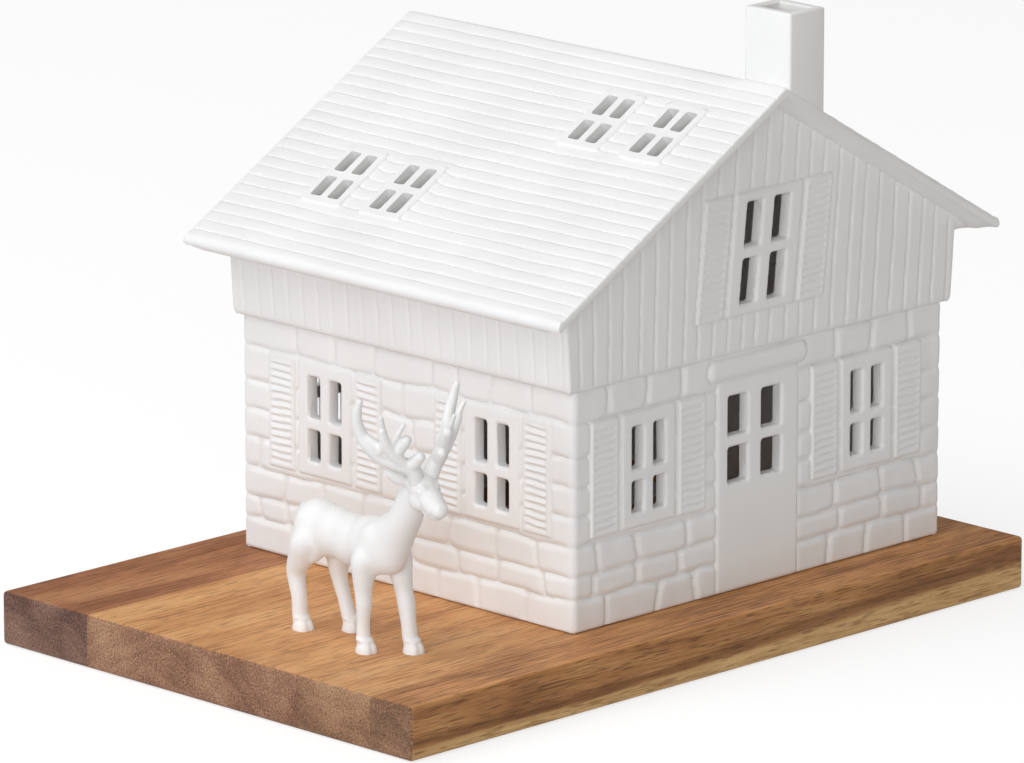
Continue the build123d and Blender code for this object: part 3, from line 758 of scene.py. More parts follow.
def boards(across, points, seed):
    """Relief of upright boards with soft grooves between them."""
    random = np.random.default_rng(seed)
    joints = np.arange(-90.0, 91.0, BOARD_PITCH)
    joints = joints + random.uniform(-0.5, 0.5, len(joints))
    bent = across + 0.22 * unevenness(points, 30.0, seed + 1)
    board = np.clip(np.searchsorted(joints, bent), 1, len(joints) - 1)
    edge = np.minimum(bent - joints[board - 1], joints[board] - bent)
    sits = random.uniform(-0.10, 0.06, len(joints))[board]
    pressed = (1.0 - np.clip(edge / 1.1, 0.0, 1.0)) ** 2
    height = 0.7 * sits - 0.42 * pressed + 0.05 * unevenness(points, 9.0, seed + 2)
    # The second value marks the board grooves, for painted shade in the finish.
    return height, 0.8 - 0.8 * smooth_step(0.05, 0.5, edge)


def side_half(level):
    return 0.0 * level + HOUSE_DEPTH / 2 + END_OVERHANG


def gable_half(level):
    return HOUSE_WIDTH / 2 + SIDE_OVERHANG + FLARE * (level - STONE_HEIGHT)


for number, side in enumerate(("right", "left")):
    along, out = (np.array(v) for v in FACINGS[side][:2])

    def relief(across, up, points):
        height, groove = boards(across, points, 150 + 10 * number)
        return 0.85 * height, 0.7 * groove

    band = shaped_wall("board_band_" + side, along, out, STONE_HEIGHT, SOFFIT + BAND_TUCK, side_half,
                       gable_half, BOARD_CORNER, BOARD_LIP, relief)
    finish_piece(band, house_porcelain, "house", ["house_walls"])

# %% Gables
def trim_to_roof(piece):
    """Cut the sheet off along both slopes, a little above the ceiling line."""
    for hand in (-1, 1):
        pick_up(piece)
        bpy.ops.object.mode_set(mode="EDIT")
        bpy.ops.mesh.select_all(action="SELECT")
        ridge = (np.array([0.0, 0.0, CEILING + 1.6]) + HOUSE) * MM
        bpy.ops.mesh.bisect(plane_co=ridge, plane_no=(hand * math.sin(PITCH), 0.0, math.cos(PITCH)),
                            clear_outer=True)
        bpy.ops.object.mode_set(mode="OBJECT")


for number, side in enumerate(("front", "back")):
    along, out = (np.array(v) for v in FACINGS[side][:2])
    openings = []

    def relief(across, up, points):
        fanned = across - np.interp(across, *FAN) * (up - LOFT_MIDDLE)
        height, groove = boards(fanned, points, 180 + 10 * number)
        slanted = across - LOFT_LEAN * (up - LOFT_MIDDLE)
        height, groove, panes = dress_window(height, groove, slanted, up, points, LOFT_WINDOW, LOFT_OFFSET,
                                             LOFT_SILL, 210 + 30 * number)
        openings.extend(panes)
        return height, groove

    gable = shaped_wall("gable_" + side, along, out, STONE_HEIGHT, CEILING + 2.0, gable_half, side_half,
                        BOARD_CORNER, BOARD_LIP, relief, trim_to_roof)
    cut_panes(gable, openings, on_wall(along, out, side_half, LOFT_LEAN, LOFT_MIDDLE), 5.0 * WALL,
              240 + number)
    finish_piece(gable, house_porcelain, "house", ["house_walls"])

# %% [markdown]
# The roof is one shell with twenty-five lapped slats on each slope, boxed eaves with a rounded nose, and a
# plain ceiling. A long sheet is wrapped right round its section, from one eave over the ridge to the other
# and back under the ceiling, so the shell is closed once the seam is merged and both verges are filled.
# Moving whole rows of the sheet a little up or down the slope gives the slats their hand-made waver.

# %% Slats of one slope
SLAT_COUNT = 25
SLOPE_LENGTH = math.hypot(ROOF_RISE, HALF_SPAN)
EXPOSURE = SLOPE_LENGTH / SLAT_COUNT
SLAT_STEP = 0.42
SLAT_SECTION = ([0.0, 0.03, 0.07, 0.14, 0.45, 0.80, 0.92, 0.97],
                [0.0, 0.60, 0.92, 1.0, 1.0, 0.90, 0.62, 0.15])
SKYLIGHT = dict(pane=4.2, mullion=2.4, lower=8.0, transom=2.6, upper=8.0, frame=2.2)
SKYLIGHT_WIDE = SKYLIGHT["pane"] + SKYLIGHT["mullion"] / 2 + SKYLIGHT["frame"]
SKYLIGHT_TALL = SKYLIGHT["lower"] + SKYLIGHT["transom"] / 2 + SKYLIGHT["frame"]
SKYLIGHT_LIFT = 1.0
SKYLIGHT_SPACING = 23.2
SKYLIGHT_PAIRS = [(-37.2, 75.0), (27.4, 34.4)]
ROOF_LENGTH = HOUSE_DEPTH + 2 * VERGE_OVERHANG
PLATE_STEPS = (-0.22, 0.0, 0.22)


def skylight_middles(hand):
    """Middles of the skylights of a slope, along the ridge and up the slope; hand -1 is the left slope."""
    return [(-hand * (middle + side * SKYLIGHT_SPACING / 2), up_slope)
            for middle, up_slope in SKYLIGHT_PAIRS for side in (-1, 1)]


def slat_shares(row):
    """Where the sheet has a row on one slat: at its own section and at the skylights' edges."""
    edges = [(up_slope + way * SKYLIGHT_TALL + step) / EXPOSURE - row
             for _, up_slope in SKYLIGHT_PAIRS for way in (-1, 1) for step in PLATE_STEPS]
    return sorted(SLAT_SECTION[0] + [share for share in edges if 0.01 < share < 0.99])


def slat_waver(ridge_way, row):
    """How far a slat wanders down the slope and how thick it is, along the ridge."""
    line = np.stack([ridge_way, np.full_like(ridge_way, 37.0 * row), np.zeros_like(ridge_way)], axis=1)
    middle = math.exp(-((row - 10.5) / 5.5) ** 2)
    sag = 0.8 * middle * np.cos(math.pi * ridge_way / ROOF_LENGTH) ** 2
    waver = 0.26 * unevenness(line, 40.0, 301) + 0.08 * unevenness(line, 9.0, 302)
    fade = min(1.0, row / 2.0) * min(1.0, (SLAT_COUNT - 1 - row) / 2.0)
    thick = 1.0 + 0.35 * unevenness(line, 26.0, 303)
    worn = 0.35 + 0.65 * smooth_step(0.0, 3.5, ROOF_LENGTH / 2 - np.abs(ridge_way))
    return fade * (waver - sag), thick * worn


# %% Wrap the roof sheet
VERGE_EDGE = 2.6
SOFFIT_FALL = 0.4
COVE_DROP, COVE_WIDTH = 0.9, 2.6
NOSE_RADIUS = 2.2
NOSE = [(NOSE_RADIUS * (1.0 - math.sin(math.radians(turn))),
         NOSE_RADIUS * (1.0 - math.cos(math.radians(turn))))
        for turn in (0, 18, 36, 54, 72, 90, 108, 126, 144)]


def slope_rows(ridge_way, hand):
    """Rows of one slope from the eave's underside round its nose to the ridge."""
    rows, grooves = [], []
    for across, up in NOSE:
        rows.append((np.full_like(ridge_way, across - HALF_SPAN), np.full_like(ridge_way, SOFFIT + up)))
        grooves.append(0.0 * ridge_way)
    for row in range(SLAT_COUNT):
        drift, thick = slat_waver(ridge_way, row)
        for share in slat_shares(row):
            if row == 0 and share < 0.40:
                continue
            level = (row + share) * EXPOSURE
            up_slope = level + drift
            lift = SLAT_STEP * np.interp(share, *SLAT_SECTION) * thick
            # groove marks the line under each slat's lip, for painted shade in the finish.
            groove = np.full_like(ridge_way, max(0.0, 1.0 - min(share, 1.0 - share) / 0.05))
            for along_ridge, middle in skylight_middles(hand):
                plate = (along_ridge - SKYLIGHT_WIDE, along_ridge + SKYLIGHT_WIDE, middle - SKYLIGHT_TALL,
                         middle + SKYLIGHT_TALL)
                near = smooth_step(-3.0, -0.6, inside_by(ridge_way, up_slope, plate, 0.8))
                up_slope = up_slope + near * (level - up_slope)
                cover = smooth_step(-0.24, 0.24, inside_by(ridge_way, up_slope, plate, 0.8))
                lift = lift * (1.0 - cover) + SKYLIGHT_LIFT * cover
                groove = groove * (1.0 - cover)
            across = -HALF_SPAN + up_slope * math.cos(PITCH) - lift * math.sin(PITCH)
            rows.append((across, EAVE_TOP + up_slope * math.sin(PITCH) + lift * math.cos(PITCH)))
            grooves.append(groove)
    return rows, grooves


rim = np.concatenate([[0.0, 0.10, 0.25, 0.45, 0.75], np.arange(1.15, 10.2, 0.45)])
plate_edges = np.array(sorted({round(along_ridge + way * SKYLIGHT_WIDE, 4)
                               for hand in (-1, 1) for along_ridge, _ in skylight_middles(hand)
                               for way in (-1, 1)}))
fine = np.concatenate([plate_edges + step for step in PLATE_STEPS])
plain = np.linspace(10.7 - ROOF_LENGTH / 2, ROOF_LENGTH / 2 - 10.7, 130)
plain = plain[np.abs(plain[:, None] - fine).min(axis=1) > 0.3]
ridge_way = np.sort(np.concatenate([rim - ROOF_LENGTH / 2, plain, fine, ROOF_LENGTH / 2 - rim]))
left_rows, left_grooves = slope_rows(ridge_way, -1)
right_rows, right_grooves = slope_rows(ridge_way, 1)
ridge_row = [(0.0 * ridge_way, np.full_like(ridge_way, RIDGE - 0.12))]
inner_wall = gable_half(SOFFIT) - WALL
springing = CEILING - inner_wall * math.tan(PITCH)
eave_in, eave_up = NOSE[0]
soffit_across = np.array([84.4, 83.0, 81.5, 80.0, 79.0, 78.2, 77.5, 76.9, 76.3, 75.7, inner_wall])
soffit_way = (HALF_SPAN - eave_in - soffit_across) / (HALF_SPAN - eave_in - inner_wall)
cove = COVE_DROP * (1.0 - np.clip((soffit_across - gable_half(SOFFIT)) / COVE_WIDTH, 0.0, 1.0)) ** 2
soffit = list(zip(soffit_across, SOFFIT + eave_up + SOFFIT_FALL * soffit_way - cove))
ceiling_rows = soffit + [(inner_wall, springing), (0.0, CEILING), (-inner_wall, springing)]
ceiling_rows += [(-across, up) for across, up in reversed(soffit)]
section = left_rows + ridge_row + [(-across, up) for across, up in reversed(right_rows)]
section += [(np.full_like(ridge_way, across), np.full_like(ridge_way, up)) for across, up in ceiling_rows]
section += [left_rows[0]]
grooves = left_grooves + [0.0 * ridge_way] + right_grooves[::-1] + [0.0 * ridge_way] * (len(ceiling_rows) + 1)
roof = grid_sheet("roof_shell", len(ridge_way), len(section))
points = np.stack([np.concatenate([row[0] for row in section]), np.tile(ridge_way, len(section)),
                   np.concatenate([row[1] for row in section])], axis=1)
print("roof sheet", len(section), "rows by", len(ridge_way))

# %% [markdown]
# Towards the verges the roof gets thinner from below, so its open edge looks light although the shell is
# sturdy over the walls. In front of the gable the underside of the sheet is lifted, from the ceiling line at
# the wall to a thin edge at the rim, and the boxed eaves run out into it. Both edges of the rim are rounded.

# %% Taper the verges
from_end = ROOF_LENGTH / 2 - np.abs(points[:, 1])
to_gable = VERGE_OVERHANG - END_OVERHANG - 0.4
across = np.abs(points[:, 0])
top_line = EAVE_TOP + (HALF_SPAN - across) * math.tan(PITCH)
ceiling_line = CEILING - across * math.tan(PITCH)
thin = np.maximum(top_line - VERGE_EDGE - points[:, 2], 0.0)
beyond_wall = smooth_step(gable_half(SOFFIT), HALF_SPAN - 1.0, across)
boxed = np.maximum(ceiling_line - points[:, 2], 0.0) * (1.0 - beyond_wall)
inwards = smooth_step(0.0, to_gable, from_end)
lift = thin * (1.0 - inwards) + boxed * inwards
points[:, 2] += lift * (1.0 - smooth_step(to_gable, to_gable + 2.2, from_end))
rounding = 0.65 * (1.0 - np.sqrt(1.0 - np.clip((0.75 - from_end) / 0.75, 0.0, 1.0) ** 2))
points[:, 2] += np.where(points[:, 2] > top_line - VERGE_EDGE / 2, -rounding, 0.6 * rounding)
write_points(roof, points)
store_groove_shade(roof, np.concatenate(grooves))
print("verge edge", VERGE_EDGE, "mm thick")

# %% Close the roof and cut its openings
CHIMNEY_WIDTH, CHIMNEY_DEPTH, CHIMNEY_WALL = 13.8, 17.3, 2.6
CHIMNEY_GAP, CHIMNEY_RISE = 1.7, 20.2
pick_up(roof)
bpy.ops.object.mode_set(mode="EDIT")
bpy.ops.mesh.select_all(action="SELECT")
bpy.ops.mesh.remove_doubles(threshold=1e-6)
bpy.ops.mesh.fill_holes(sides=0)
bpy.ops.mesh.select_all(action="SELECT")
bpy.ops.mesh.normals_make_consistent(inside=False)
bpy.ops.object.mode_set(mode="OBJECT")


def on_slope(hand):
    """Place of a pane on a slope: its width runs along the ridge and its depth through the roof."""
    def place(along_ridge, up_slope):
        spot = np.array([hand * (HALF_SPAN - up_slope * math.cos(PITCH)), along_ridge,
                         EAVE_TOP + up_slope * math.sin(PITCH)])
        upwards = Vector((-hand * math.cos(PITCH), 0.0, math.sin(PITCH)))
        outwards = Vector((hand * math.sin(PITCH), 0.0, math.cos(PITCH)))
        turned = Matrix(((-outwards).cross(upwards), -outwards, upwards)).transposed().to_4x4()
        return Matrix.Translation(Vector((spot + HOUSE) * MM)) @ turned
    return place


for hand in (-1, 1):
    panes = []
    for along_ridge, up_slope in skylight_middles(hand):
        panes += pane_boxes(SKYLIGHT, along_ridge, up_slope - SKYLIGHT["lower"] - SKYLIGHT["transom"] / 2)
    cut_panes(roof, panes, on_slope(hand), 16.0, 330 + hand)
flue_middle = (CHIMNEY_GAP + CHIMNEY_WIDTH / 2, CHIMNEY_DEPTH / 2 - ROOF_LENGTH / 2)
flue_wide, flue_deep = CHIMNEY_WIDTH - 2 * CHIMNEY_WALL, CHIMNEY_DEPTH - 2 * CHIMNEY_WALL
flue_box = [(flue_middle[0] - flue_wide / 2, flue_middle[0] + flue_wide / 2,
             WALL - side_half(RIDGE) + 0.2, flue_middle[1] + flue_deep / 2)]


def straight_down(across, along_ridge):
    spot = np.array([across, along_ridge, RIDGE])
    return Matrix.Translation(Vector((spot + HOUSE) * MM)) @ Matrix.Rotation(-math.pi / 2, 4, "X")


cut_panes(roof, flue_box, straight_down, 60.0, 340)
finish_piece(roof, roof_porcelain, "house", ["roof"])

# %% [markdown]
# The chimney is a square tube on the far slope, flush with the front verge. It is a cube whose top face is
# inset by the wall and pushed right down through the stack. Its foot is cut with Bisect just under the
# slats, then the edges are bevelled: cast porcelain has no sharp corners.

# %% Chimney
put_down()
stack_low, stack_high = EAVE_TOP + 20.0, RIDGE + CHIMNEY_RISE
bpy.ops.mesh.primitive_cube_add(size=1.0)
chimney = bpy.context.object
chimney.name = chimney.data.name = "chimney_stack"
chimney.data.transform(Matrix.Diagonal((CHIMNEY_WIDTH * MM, (CHIMNEY_DEPTH - 0.3) * MM,
                                        (stack_high - stack_low) * MM, 1.0)))
stack_middle = np.array([flue_middle[0], flue_middle[1] + 0.15, (stack_low + stack_high) / 2])
chimney.data.transform(Matrix.Translation(Vector((stack_middle + HOUSE) * MM)))
bpy.ops.object.mode_set(mode="EDIT")
bpy.ops.mesh.select_mode(type="FACE")
bpy.ops.mesh.select_all(action="DESELECT")
bpy.ops.object.mode_set(mode="OBJECT")
for flat in chimney.data.polygons:
    flat.select = flat.normal.z > 0.9
bpy.ops.object.mode_set(mode="EDIT")
bpy.ops.mesh.inset(thickness=CHIMNEY_WALL * MM, depth=0.0)
down_the_flue = (0.0, 0.0, (stack_low - stack_high - 5.0) * MM)
bpy.ops.mesh.extrude_region_move(TRANSFORM_OT_translate={"value": down_the_flue})
bpy.ops.mesh.delete(type="FACE")
bpy.ops.mesh.select_all(action="SELECT")
foot = (np.array([0.0, 0.0, RIDGE - 1.2]) + HOUSE) * MM
bpy.ops.mesh.bisect(plane_co=foot, plane_no=(math.sin(PITCH), 0.0, math.cos(PITCH)), clear_inner=True)
bpy.ops.mesh.select_all(action="SELECT")
bpy.ops.mesh.normals_make_consistent(inside=False)
bpy.ops.object.mode_set(mode="OBJECT")
apply_modifier(chimney, "BEVEL", width=0.75 * MM, segments=4, limit_method="ANGLE",
               angle_limit=math.radians(50.0))
finish_piece(chimney, chimney_porcelain, "house", ["chimney"])

# %% [markdown]
# The deer is a small solid casting with soft forms. Its masses are laid down the way a sculptor builds up
# clay: stretched spheres for haunch, belly, chest, skull and hooves, and thick curves for legs, neck and
# muzzle, whose radius changes from knot to knot. A voxel Remesh welds them into one skin and Smooth melts
# the seams. The barrel is melted most, then with the legs, then with head and hooves, which stay crisp.
# Measures are in the deer's own frame: ahead, to its right, and up from the board.

# %% Clay for the deer
DEER_AT, DEER_TURN = (-85.65, -24.3), math.radians(-7.3)


def deer_spot(ahead, right, up):
    """A point of the deer's frame in the frame's metres."""
    turned = Matrix.Rotation(DEER_TURN, 3, "Z") @ Vector((-right, -ahead, up))
    return (turned + Vector((*DEER_AT, BOARD_TOP))) * MM


def limb(*knots):
    """A thick curve through knots (ahead, right, up, radius), turned into a mesh."""
    put_down()
    bpy.ops.curve.primitive_bezier_curve_add(location=(0.0, 0.0, 0.0))
    curve = bpy.context.object
    curve.data.bevel_depth = MM
    curve.data.bevel_resolution = 6
    curve.data.resolution_u = 10
    curve.data.use_fill_caps = True
    line = curve.data.splines[0].bezier_points
    line.add(len(knots) - 2)
    for knot, (ahead, right, up, radius) in zip(line, knots):
        knot.co = deer_spot(ahead, right, up)
        knot.radius = radius
        knot.handle_left_type = knot.handle_right_type = "AUTO"
    bpy.ops.object.convert(target="MESH")
    return bpy.context.object


def lump(ahead, right, up, long, wide, tall, nod=0.0, swing=0.0):
    """A stretched sphere; nod tips its long axis down at the front, swing turns it outwards."""
    put_down()
    bpy.ops.mesh.primitive_uv_sphere_add(segments=32, ring_count=16, radius=MM,
                                         location=deer_spot(ahead, right, up),
                                         rotation=(math.radians(nod), 0.0, DEER_TURN + math.radians(swing)))
    ball = bpy.context.object
    ball.scale = (wide, long, tall)
    bpy.ops.object.transform_apply(location=True, rotation=True, scale=True)
    return ball


def weld(name, masses, voxel, melting):
    """Join the masses into one skin and melt its seams."""
    put_down()
    for mass in masses:
        mass.select_set(True)
    bpy.context.view_layer.objects.active = masses[0]
    bpy.ops.object.join()
    piece = bpy.context.object
    piece.name = piece.data.name = name
    apply_modifier(piece, "REMESH", mode="VOXEL", voxel_size=voxel * MM)
    apply_modifier(piece, "SMOOTH", factor=0.5, iterations=melting)
    return piece


# %% Deer's body
def leg(side, *knots):
    """A leg at a side, its knots (ahead, up, radius), rooted inside the trunk; its hoof goes to the feet."""
    ahead = knots[0][0]
    root = (knots[-1][0] + 1.0, 0.4 * side, knots[-1][1] + 6.0, 0.5 * knots[-1][2])
    for toe in (-1, 1):
        feet.append(lump(ahead + 0.5, side + toe * 0.7, 0.1, 2.95, 2.05, 3.3, nod=8.0, swing=-5.0 * toe))
    feet.append(lump(ahead - 0.1, side, 3.5, 2.55, 2.45, 0.9, nod=10.0))
    return [limb(*((a, side, up, radius) for a, up, radius in knots), root)]


feet = []
torso = [
    lump(-16.6, 0.0, 28.6, 7.8, 6.4, 7.6, nod=-6.0), lump(-9.0, 0.0, 28.2, 10.0, 6.2, 7.3),
    lump(-1.0, 0.0, 27.8, 10.0, 6.1, 7.4),
    lump(7.0, 0.0, 28.4, 9.5, 6.2, 8.0, nod=-6.0), lump(13.6, 0.0, 29.4, 7.0, 5.8, 8.2, nod=-12.0),
    lump(16.8, 0.0, 32.8, 5.6, 5.2, 6.8, nod=-14.0),
    limb((5.0, 0.0, 28.5, 5.0), (12.5, 0.0, 30.4, 5.8), (18.2, 0.0, 34.2, 5.1), (22.0, 0.0, 39.4, 4.7),
         (24.9, 0.0, 44.6, 4.3), (27.4, 0.0, 48.6, 4.0)),
]
for hand in (-1, 1):
    torso += [lump(-16.6, 3.4 * hand, 26.4, 5.6, 3.7, 8.4, nod=-12.0),
              lump(10.8, 3.4 * hand, 28.0, 5.0, 3.4, 8.2, nod=8.0)]
barrel = weld("deer_barrel", torso, 0.45, 50)
limbs = [lump(-23.0, 0.0, 31.4, 2.6, 1.6, 2.8, nod=40.0)]
limbs += leg(4.9, (-18.4, 1.6, 2.4), (-19.0, 4.2, 2.3), (-19.3, 8.5, 2.25), (-20.5, 13.4, 2.5),
             (-20.7, 15.8, 2.8), (-18.4, 20.5, 3.7), (-16.4, 25.0, 4.3))
limbs += leg(-4.9, (-9.2, 1.6, 2.25), (-10.4, 4.2, 2.1), (-12.2, 8.5, 2.0), (-14.3, 13.4, 2.3),
             (-14.8, 15.8, 2.8), (-14.4, 20.5, 3.7), (-14.0, 25.0, 4.3))
limbs += leg(4.9, (10.0, 1.6, 2.15), (9.4, 4.2, 2.0), (9.4, 8.0, 1.9), (9.7, 13.6, 2.35), (9.4, 16.0, 2.4),
             (9.6, 21.0, 3.2), (10.0, 25.5, 3.8))
limbs += leg(-4.9, (18.0, 1.6, 2.3), (17.0, 4.2, 2.25), (16.5, 7.6, 2.2), (15.4, 13.2, 2.6),
             (14.6, 15.8, 2.45), (13.2, 21.0, 3.2), (12.2, 25.5, 3.8))
trunk = weld("deer_trunk", [barrel, *limbs], 0.40, 26)
head = [
    lump(29.1, 0.0, 48.8, 4.5, 4.0, 4.1),
    limb((29.3, 0.0, 48.4, 3.8), (33.0, 0.0, 45.9, 3.3), (36.0, 0.0, 43.7, 2.8)),
    lump(36.6, 0.0, 43.9, 2.3, 2.4, 2.3), lump(33.2, 0.0, 43.0, 4.2, 2.2, 2.0, nod=14.0),
]
for hand in (-1, 1):
    head += [
        lump(29.2, 1.7 * hand, 45.9, 3.9, 2.2, 3.0, nod=24.0),
        lump(31.2, 1.9 * hand, 50.0, 2.6, 1.5, 1.2, nod=24.0),
        lump(32.0, 3.0 * hand, 48.2, 0.95, 0.75, 0.8), lump(37.8, 1.2 * hand, 44.8, 0.8, 0.6, 0.6),
        limb((26.4, 2.6 * hand, 49.8, 1.1), (25.3, 4.8 * hand, 51.0, 1.8), (24.3, 6.8 * hand, 52.4, 1.5),
             (23.4, 8.4 * hand, 53.6, 0.5)),
    ]
deer = weld("deer_casting", [trunk, *head, *feet], 0.30, 7)
pick_up(deer)
bpy.ops.object.mode_set(mode="EDIT")
bpy.ops.mesh.select_all(action="SELECT")
bpy.ops.mesh.bisect(plane_co=deer_spot(0.0, 0.0, 0.02), plane_no=(0.0, 0.0, 1.0), clear_inner=True,
                    use_fill=True)
bpy.ops.object.mode_set(mode="OBJECT")
deer_porcelain = porcelain("deer_porcelain", (0.880, 0.875, 0.865), (0.760, 0.745, 0.725))
finish_piece(deer, deer_porcelain, "deer", ["deer_body"], 60.0)

# %% [markdown]
# Each antler is a cupped hand: a beam that sweeps out and up from the brow, with four fingers along its
# front edge. The nearer the brow, the thicker and blunter the finger. A palm lies along the beam and a web
# runs over the roots of the fingers, so the weld fills the gaps between them as the casting does. The left
# antler is the right one mirrored.

# %% Antlers
BEAM = [(29.4, 2.0, 50.6, 2.3), (29.5, 3.7, 54.2, 2.2), (27.2, 7.3, 56.1, 2.2), (24.3, 10.2, 57.8, 2.1),
        (22.8, 12.8, 60.6, 1.95), (21.5, 14.5, 64.1, 1.65), (21.7, 15.9, 69.1, 1.35),
        (23.5, 16.1, 73.8, 0.75)]
PALM = [(29.0, 5.0, 55.4, 1.6), (27.3, 8.0, 57.6, 1.8), (25.6, 10.6, 59.6, 1.7), (23.9, 12.6, 61.8, 1.5),
        (22.4, 13.9, 63.4, 1.2)]
WEB = [(28.6, 12.8, 66.4, 1.0), (28.0, 10.9, 61.8, 1.5), (28.3, 8.6, 58.5, 1.7), (29.2, 5.6, 55.6, 1.6)]
FINGERS = [
    [(24.8, 11.0, 59.2, 1.7), (27.2, 11.4, 61.4, 1.25), (28.1, 12.2, 65.4, 0.95), (29.4, 13.8, 70.1, 0.6)],
    [(25.8, 9.6, 58.6, 1.5), (27.8, 9.3, 61.0, 1.1), (30.0, 8.8, 64.4, 0.85), (32.4, 8.3, 67.9, 0.55)],
    [(26.4, 8.3, 57.2, 2.1), (28.5, 7.7, 59.5, 1.85), (30.2, 7.1, 61.7, 1.65), (31.2, 6.8, 62.9, 1.4)],
    [(28.9, 4.6, 54.9, 2.1), (31.0, 4.0, 56.4, 1.8), (32.2, 3.7, 57.6, 1.6), (32.9, 3.6, 58.2, 1.4)],
]
for hand, side in ((1, "right"), (-1, "left")):
    masses = [limb(*((a, hand * r, up, radius) for a, r, up, radius in line))
              for line in [BEAM, PALM, WEB, *FINGERS]]
    masses += [lump(line[-1][0], hand * line[-1][1], line[-1][2], *[1.05 * line[-1][3]] * 3)
               for line in FINGERS[2:]]
    antler = weld("antler_" + side, masses, 0.24, 8)
    finish_piece(antler, deer_porcelain, "deer", ["deer_antler_" + side], 60.0)

# %% [markdown]
# Inside stands an ordinary tealight, seen when the house is lifted off. Its cup is drawn thin aluminium: a
# disc whose rim is extruded up in steps, turned over into a rolled lip and brought down inside. The fine
# flutes of the drawing are pressed in by moving every other point of the wall inwards.

# %% Tealight cup
cup_low, cup_high = (Vector(corner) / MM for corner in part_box("tealight_cup"))
CUP_AXIS = Vector(((cup_low.x + cup_high.x) / 2, (cup_low.y + cup_high.y) / 2, cup_low.z))
CUP_RADIUS, CUP_HEIGHT = (cup_high.x - cup_low.x) / 2, cup_high.z - cup_low.z
FLUTES = 90


def turned_piece(name, profile, around):
    """Extrude a disc through a profile of (radius, height) steps, as a potter would raise a pot."""
    put_down()
    first = profile[0]
    bpy.ops.mesh.primitive_circle_add(vertices=around, radius=first[0] * MM, fill_type="NGON",
                                      location=(CUP_AXIS + Vector((0.0, 0.0, first[1]))) * MM)
    piece = bpy.context.object
    piece.name = piece.data.name = name
    bpy.ops.object.transform_apply(location=True, rotation=False, scale=False)
    bpy.ops.object.mode_set(mode="EDIT")
    bpy.ops.mesh.select_mode(type="FACE")
    bpy.ops.mesh.select_all(action="SELECT")
    bpy.ops.mesh.extrude_region_move(TRANSFORM_OT_translate={"value": (0.0, 0.0, 0.0)})
    for (radius, height), (next_radius, next_height) in zip(profile, profile[1:]):
        if (radius, height) != first:
            bpy.ops.mesh.extrude_region_move(TRANSFORM_OT_translate={"value": (0.0, 0.0, 0.0)})
        share = next_radius / radius
        bpy.ops.transform.translate(value=(0.0, 0.0, (next_height - height) * MM))
        bpy.ops.transform.resize(value=(share, share, 1.0),
                                 center_override=(CUP_AXIS + Vector((0.0, 0.0, next_height))) * MM)
    bpy.ops.mesh.select_all(action="SELECT")
    bpy.ops.mesh.normals_make_consistent(inside=False)
    bpy.ops.object.mode_set(mode="OBJECT")
    return piece


edge = CUP_RADIUS - 0.02
cup = turned_piece("tealight_shell", [
    (edge - 1.6, 0.02), (edge - 0.9, 0.10), (edge - 0.6, 0.6), (edge - 0.55, 3.5), (edge - 0.5, 7.0),
    (edge - 0.48, 10.5), (edge - 0.45, 13.6), (edge - 0.2, 13.9), (edge, 14.2), (edge, 14.6),
    (edge - 0.2, 14.9), (edge - 0.5, 14.95), (edge - 0.74, 14.7), (edge - 0.80, 13.8), (edge - 0.83, 10.5),
    (edge - 0.86, 7.0), (edge - 0.90, 3.5), (edge - 0.95, 0.8), (edge - 1.3, 0.42)], 2 * FLUTES)
for point in cup.data.vertices:
    spot = point.co - CUP_AXIS * MM
    height = spot.z / MM
    if 0.3 < height < 13.75:
        angle = math.atan2(spot.y, spot.x)
        press = 0.10 * (1.0 - math.cos(FLUTES * angle)) * smooth_step(13.7, 12.0, height) * MM
        away = Vector((spot.x, spot.y, 0.0)).normalized()
        point.co -= away * press
aluminium, tree, shader, place = new_finish("drawn_aluminium")
scuffs = speckle(tree, place, (420.0, 420.0, 90.0), 4.0, 0.6)
paint(tree, shader, scuffs, [(0.3, (0.70, 0.70, 0.71)), (0.7, (0.83, 0.83, 0.84))], (0.3, 0.7, 0.24, 0.40))
shader.inputs["Metallic"].default_value = 1.0
wire_bump(tree, shader, scuffs, 0.06, 0.0001)
finish_piece(cup, aluminium, "tealight", ["tealight_cup"])

# %% [markdown]
# The wax was poured and cooled in the cup, so it creeps up a little at the rim and sinks towards the wick.
# The wick is a waxed cotton braid with a bent tip. The small steel plate under the wick is hidden in the
# wax and keeps its CAD shape.

# %% Wax, wick and plate
wax_low, wax_high = (Vector(corner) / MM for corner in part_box("tealight_wax"))
wax_radius = (wax_high.x - wax_low.x) / 2
floor_of_wax, top_of_wax = wax_low.z - CUP_AXIS.z, wax_high.z - CUP_AXIS.z
wax_side = min(wax_radius, edge - 1.12)
wax_piece = turned_piece("wax_fill", [
    (wax_side - 0.6, floor_of_wax + 0.05), (wax_side - 0.1, floor_of_wax + 0.5),
    (wax_side, floor_of_wax + 3.0), (wax_side, top_of_wax - 0.1), (wax_side - 0.15, top_of_wax),
    (wax_side - 0.6, top_of_wax - 0.28), (wax_side - 1.6, top_of_wax - 0.46), (12.0, top_of_wax - 0.55),
    (8.0, top_of_wax - 0.68), (5.0, top_of_wax - 0.85), (3.0, top_of_wax - 0.92), (1.6, top_of_wax - 0.80),
    (0.9, top_of_wax - 0.5)], 96)
wax, tree, shader, place = new_finish("tealight_wax")
bloom = speckle(tree, place, (130.0, 130.0, 130.0), 4.0, 0.6)
paint(tree, shader, bloom, [(0.35, (0.80, 0.78, 0.72)), (0.65, (0.87, 0.86, 0.82))], (0.3, 0.7, 0.34, 0.5))
shader.inputs["Subsurface Weight"].default_value = 0.25
shader.inputs["Subsurface Radius"].default_value = (0.004, 0.003, 0.002)
shader.inputs["Subsurface Scale"].default_value = 0.5
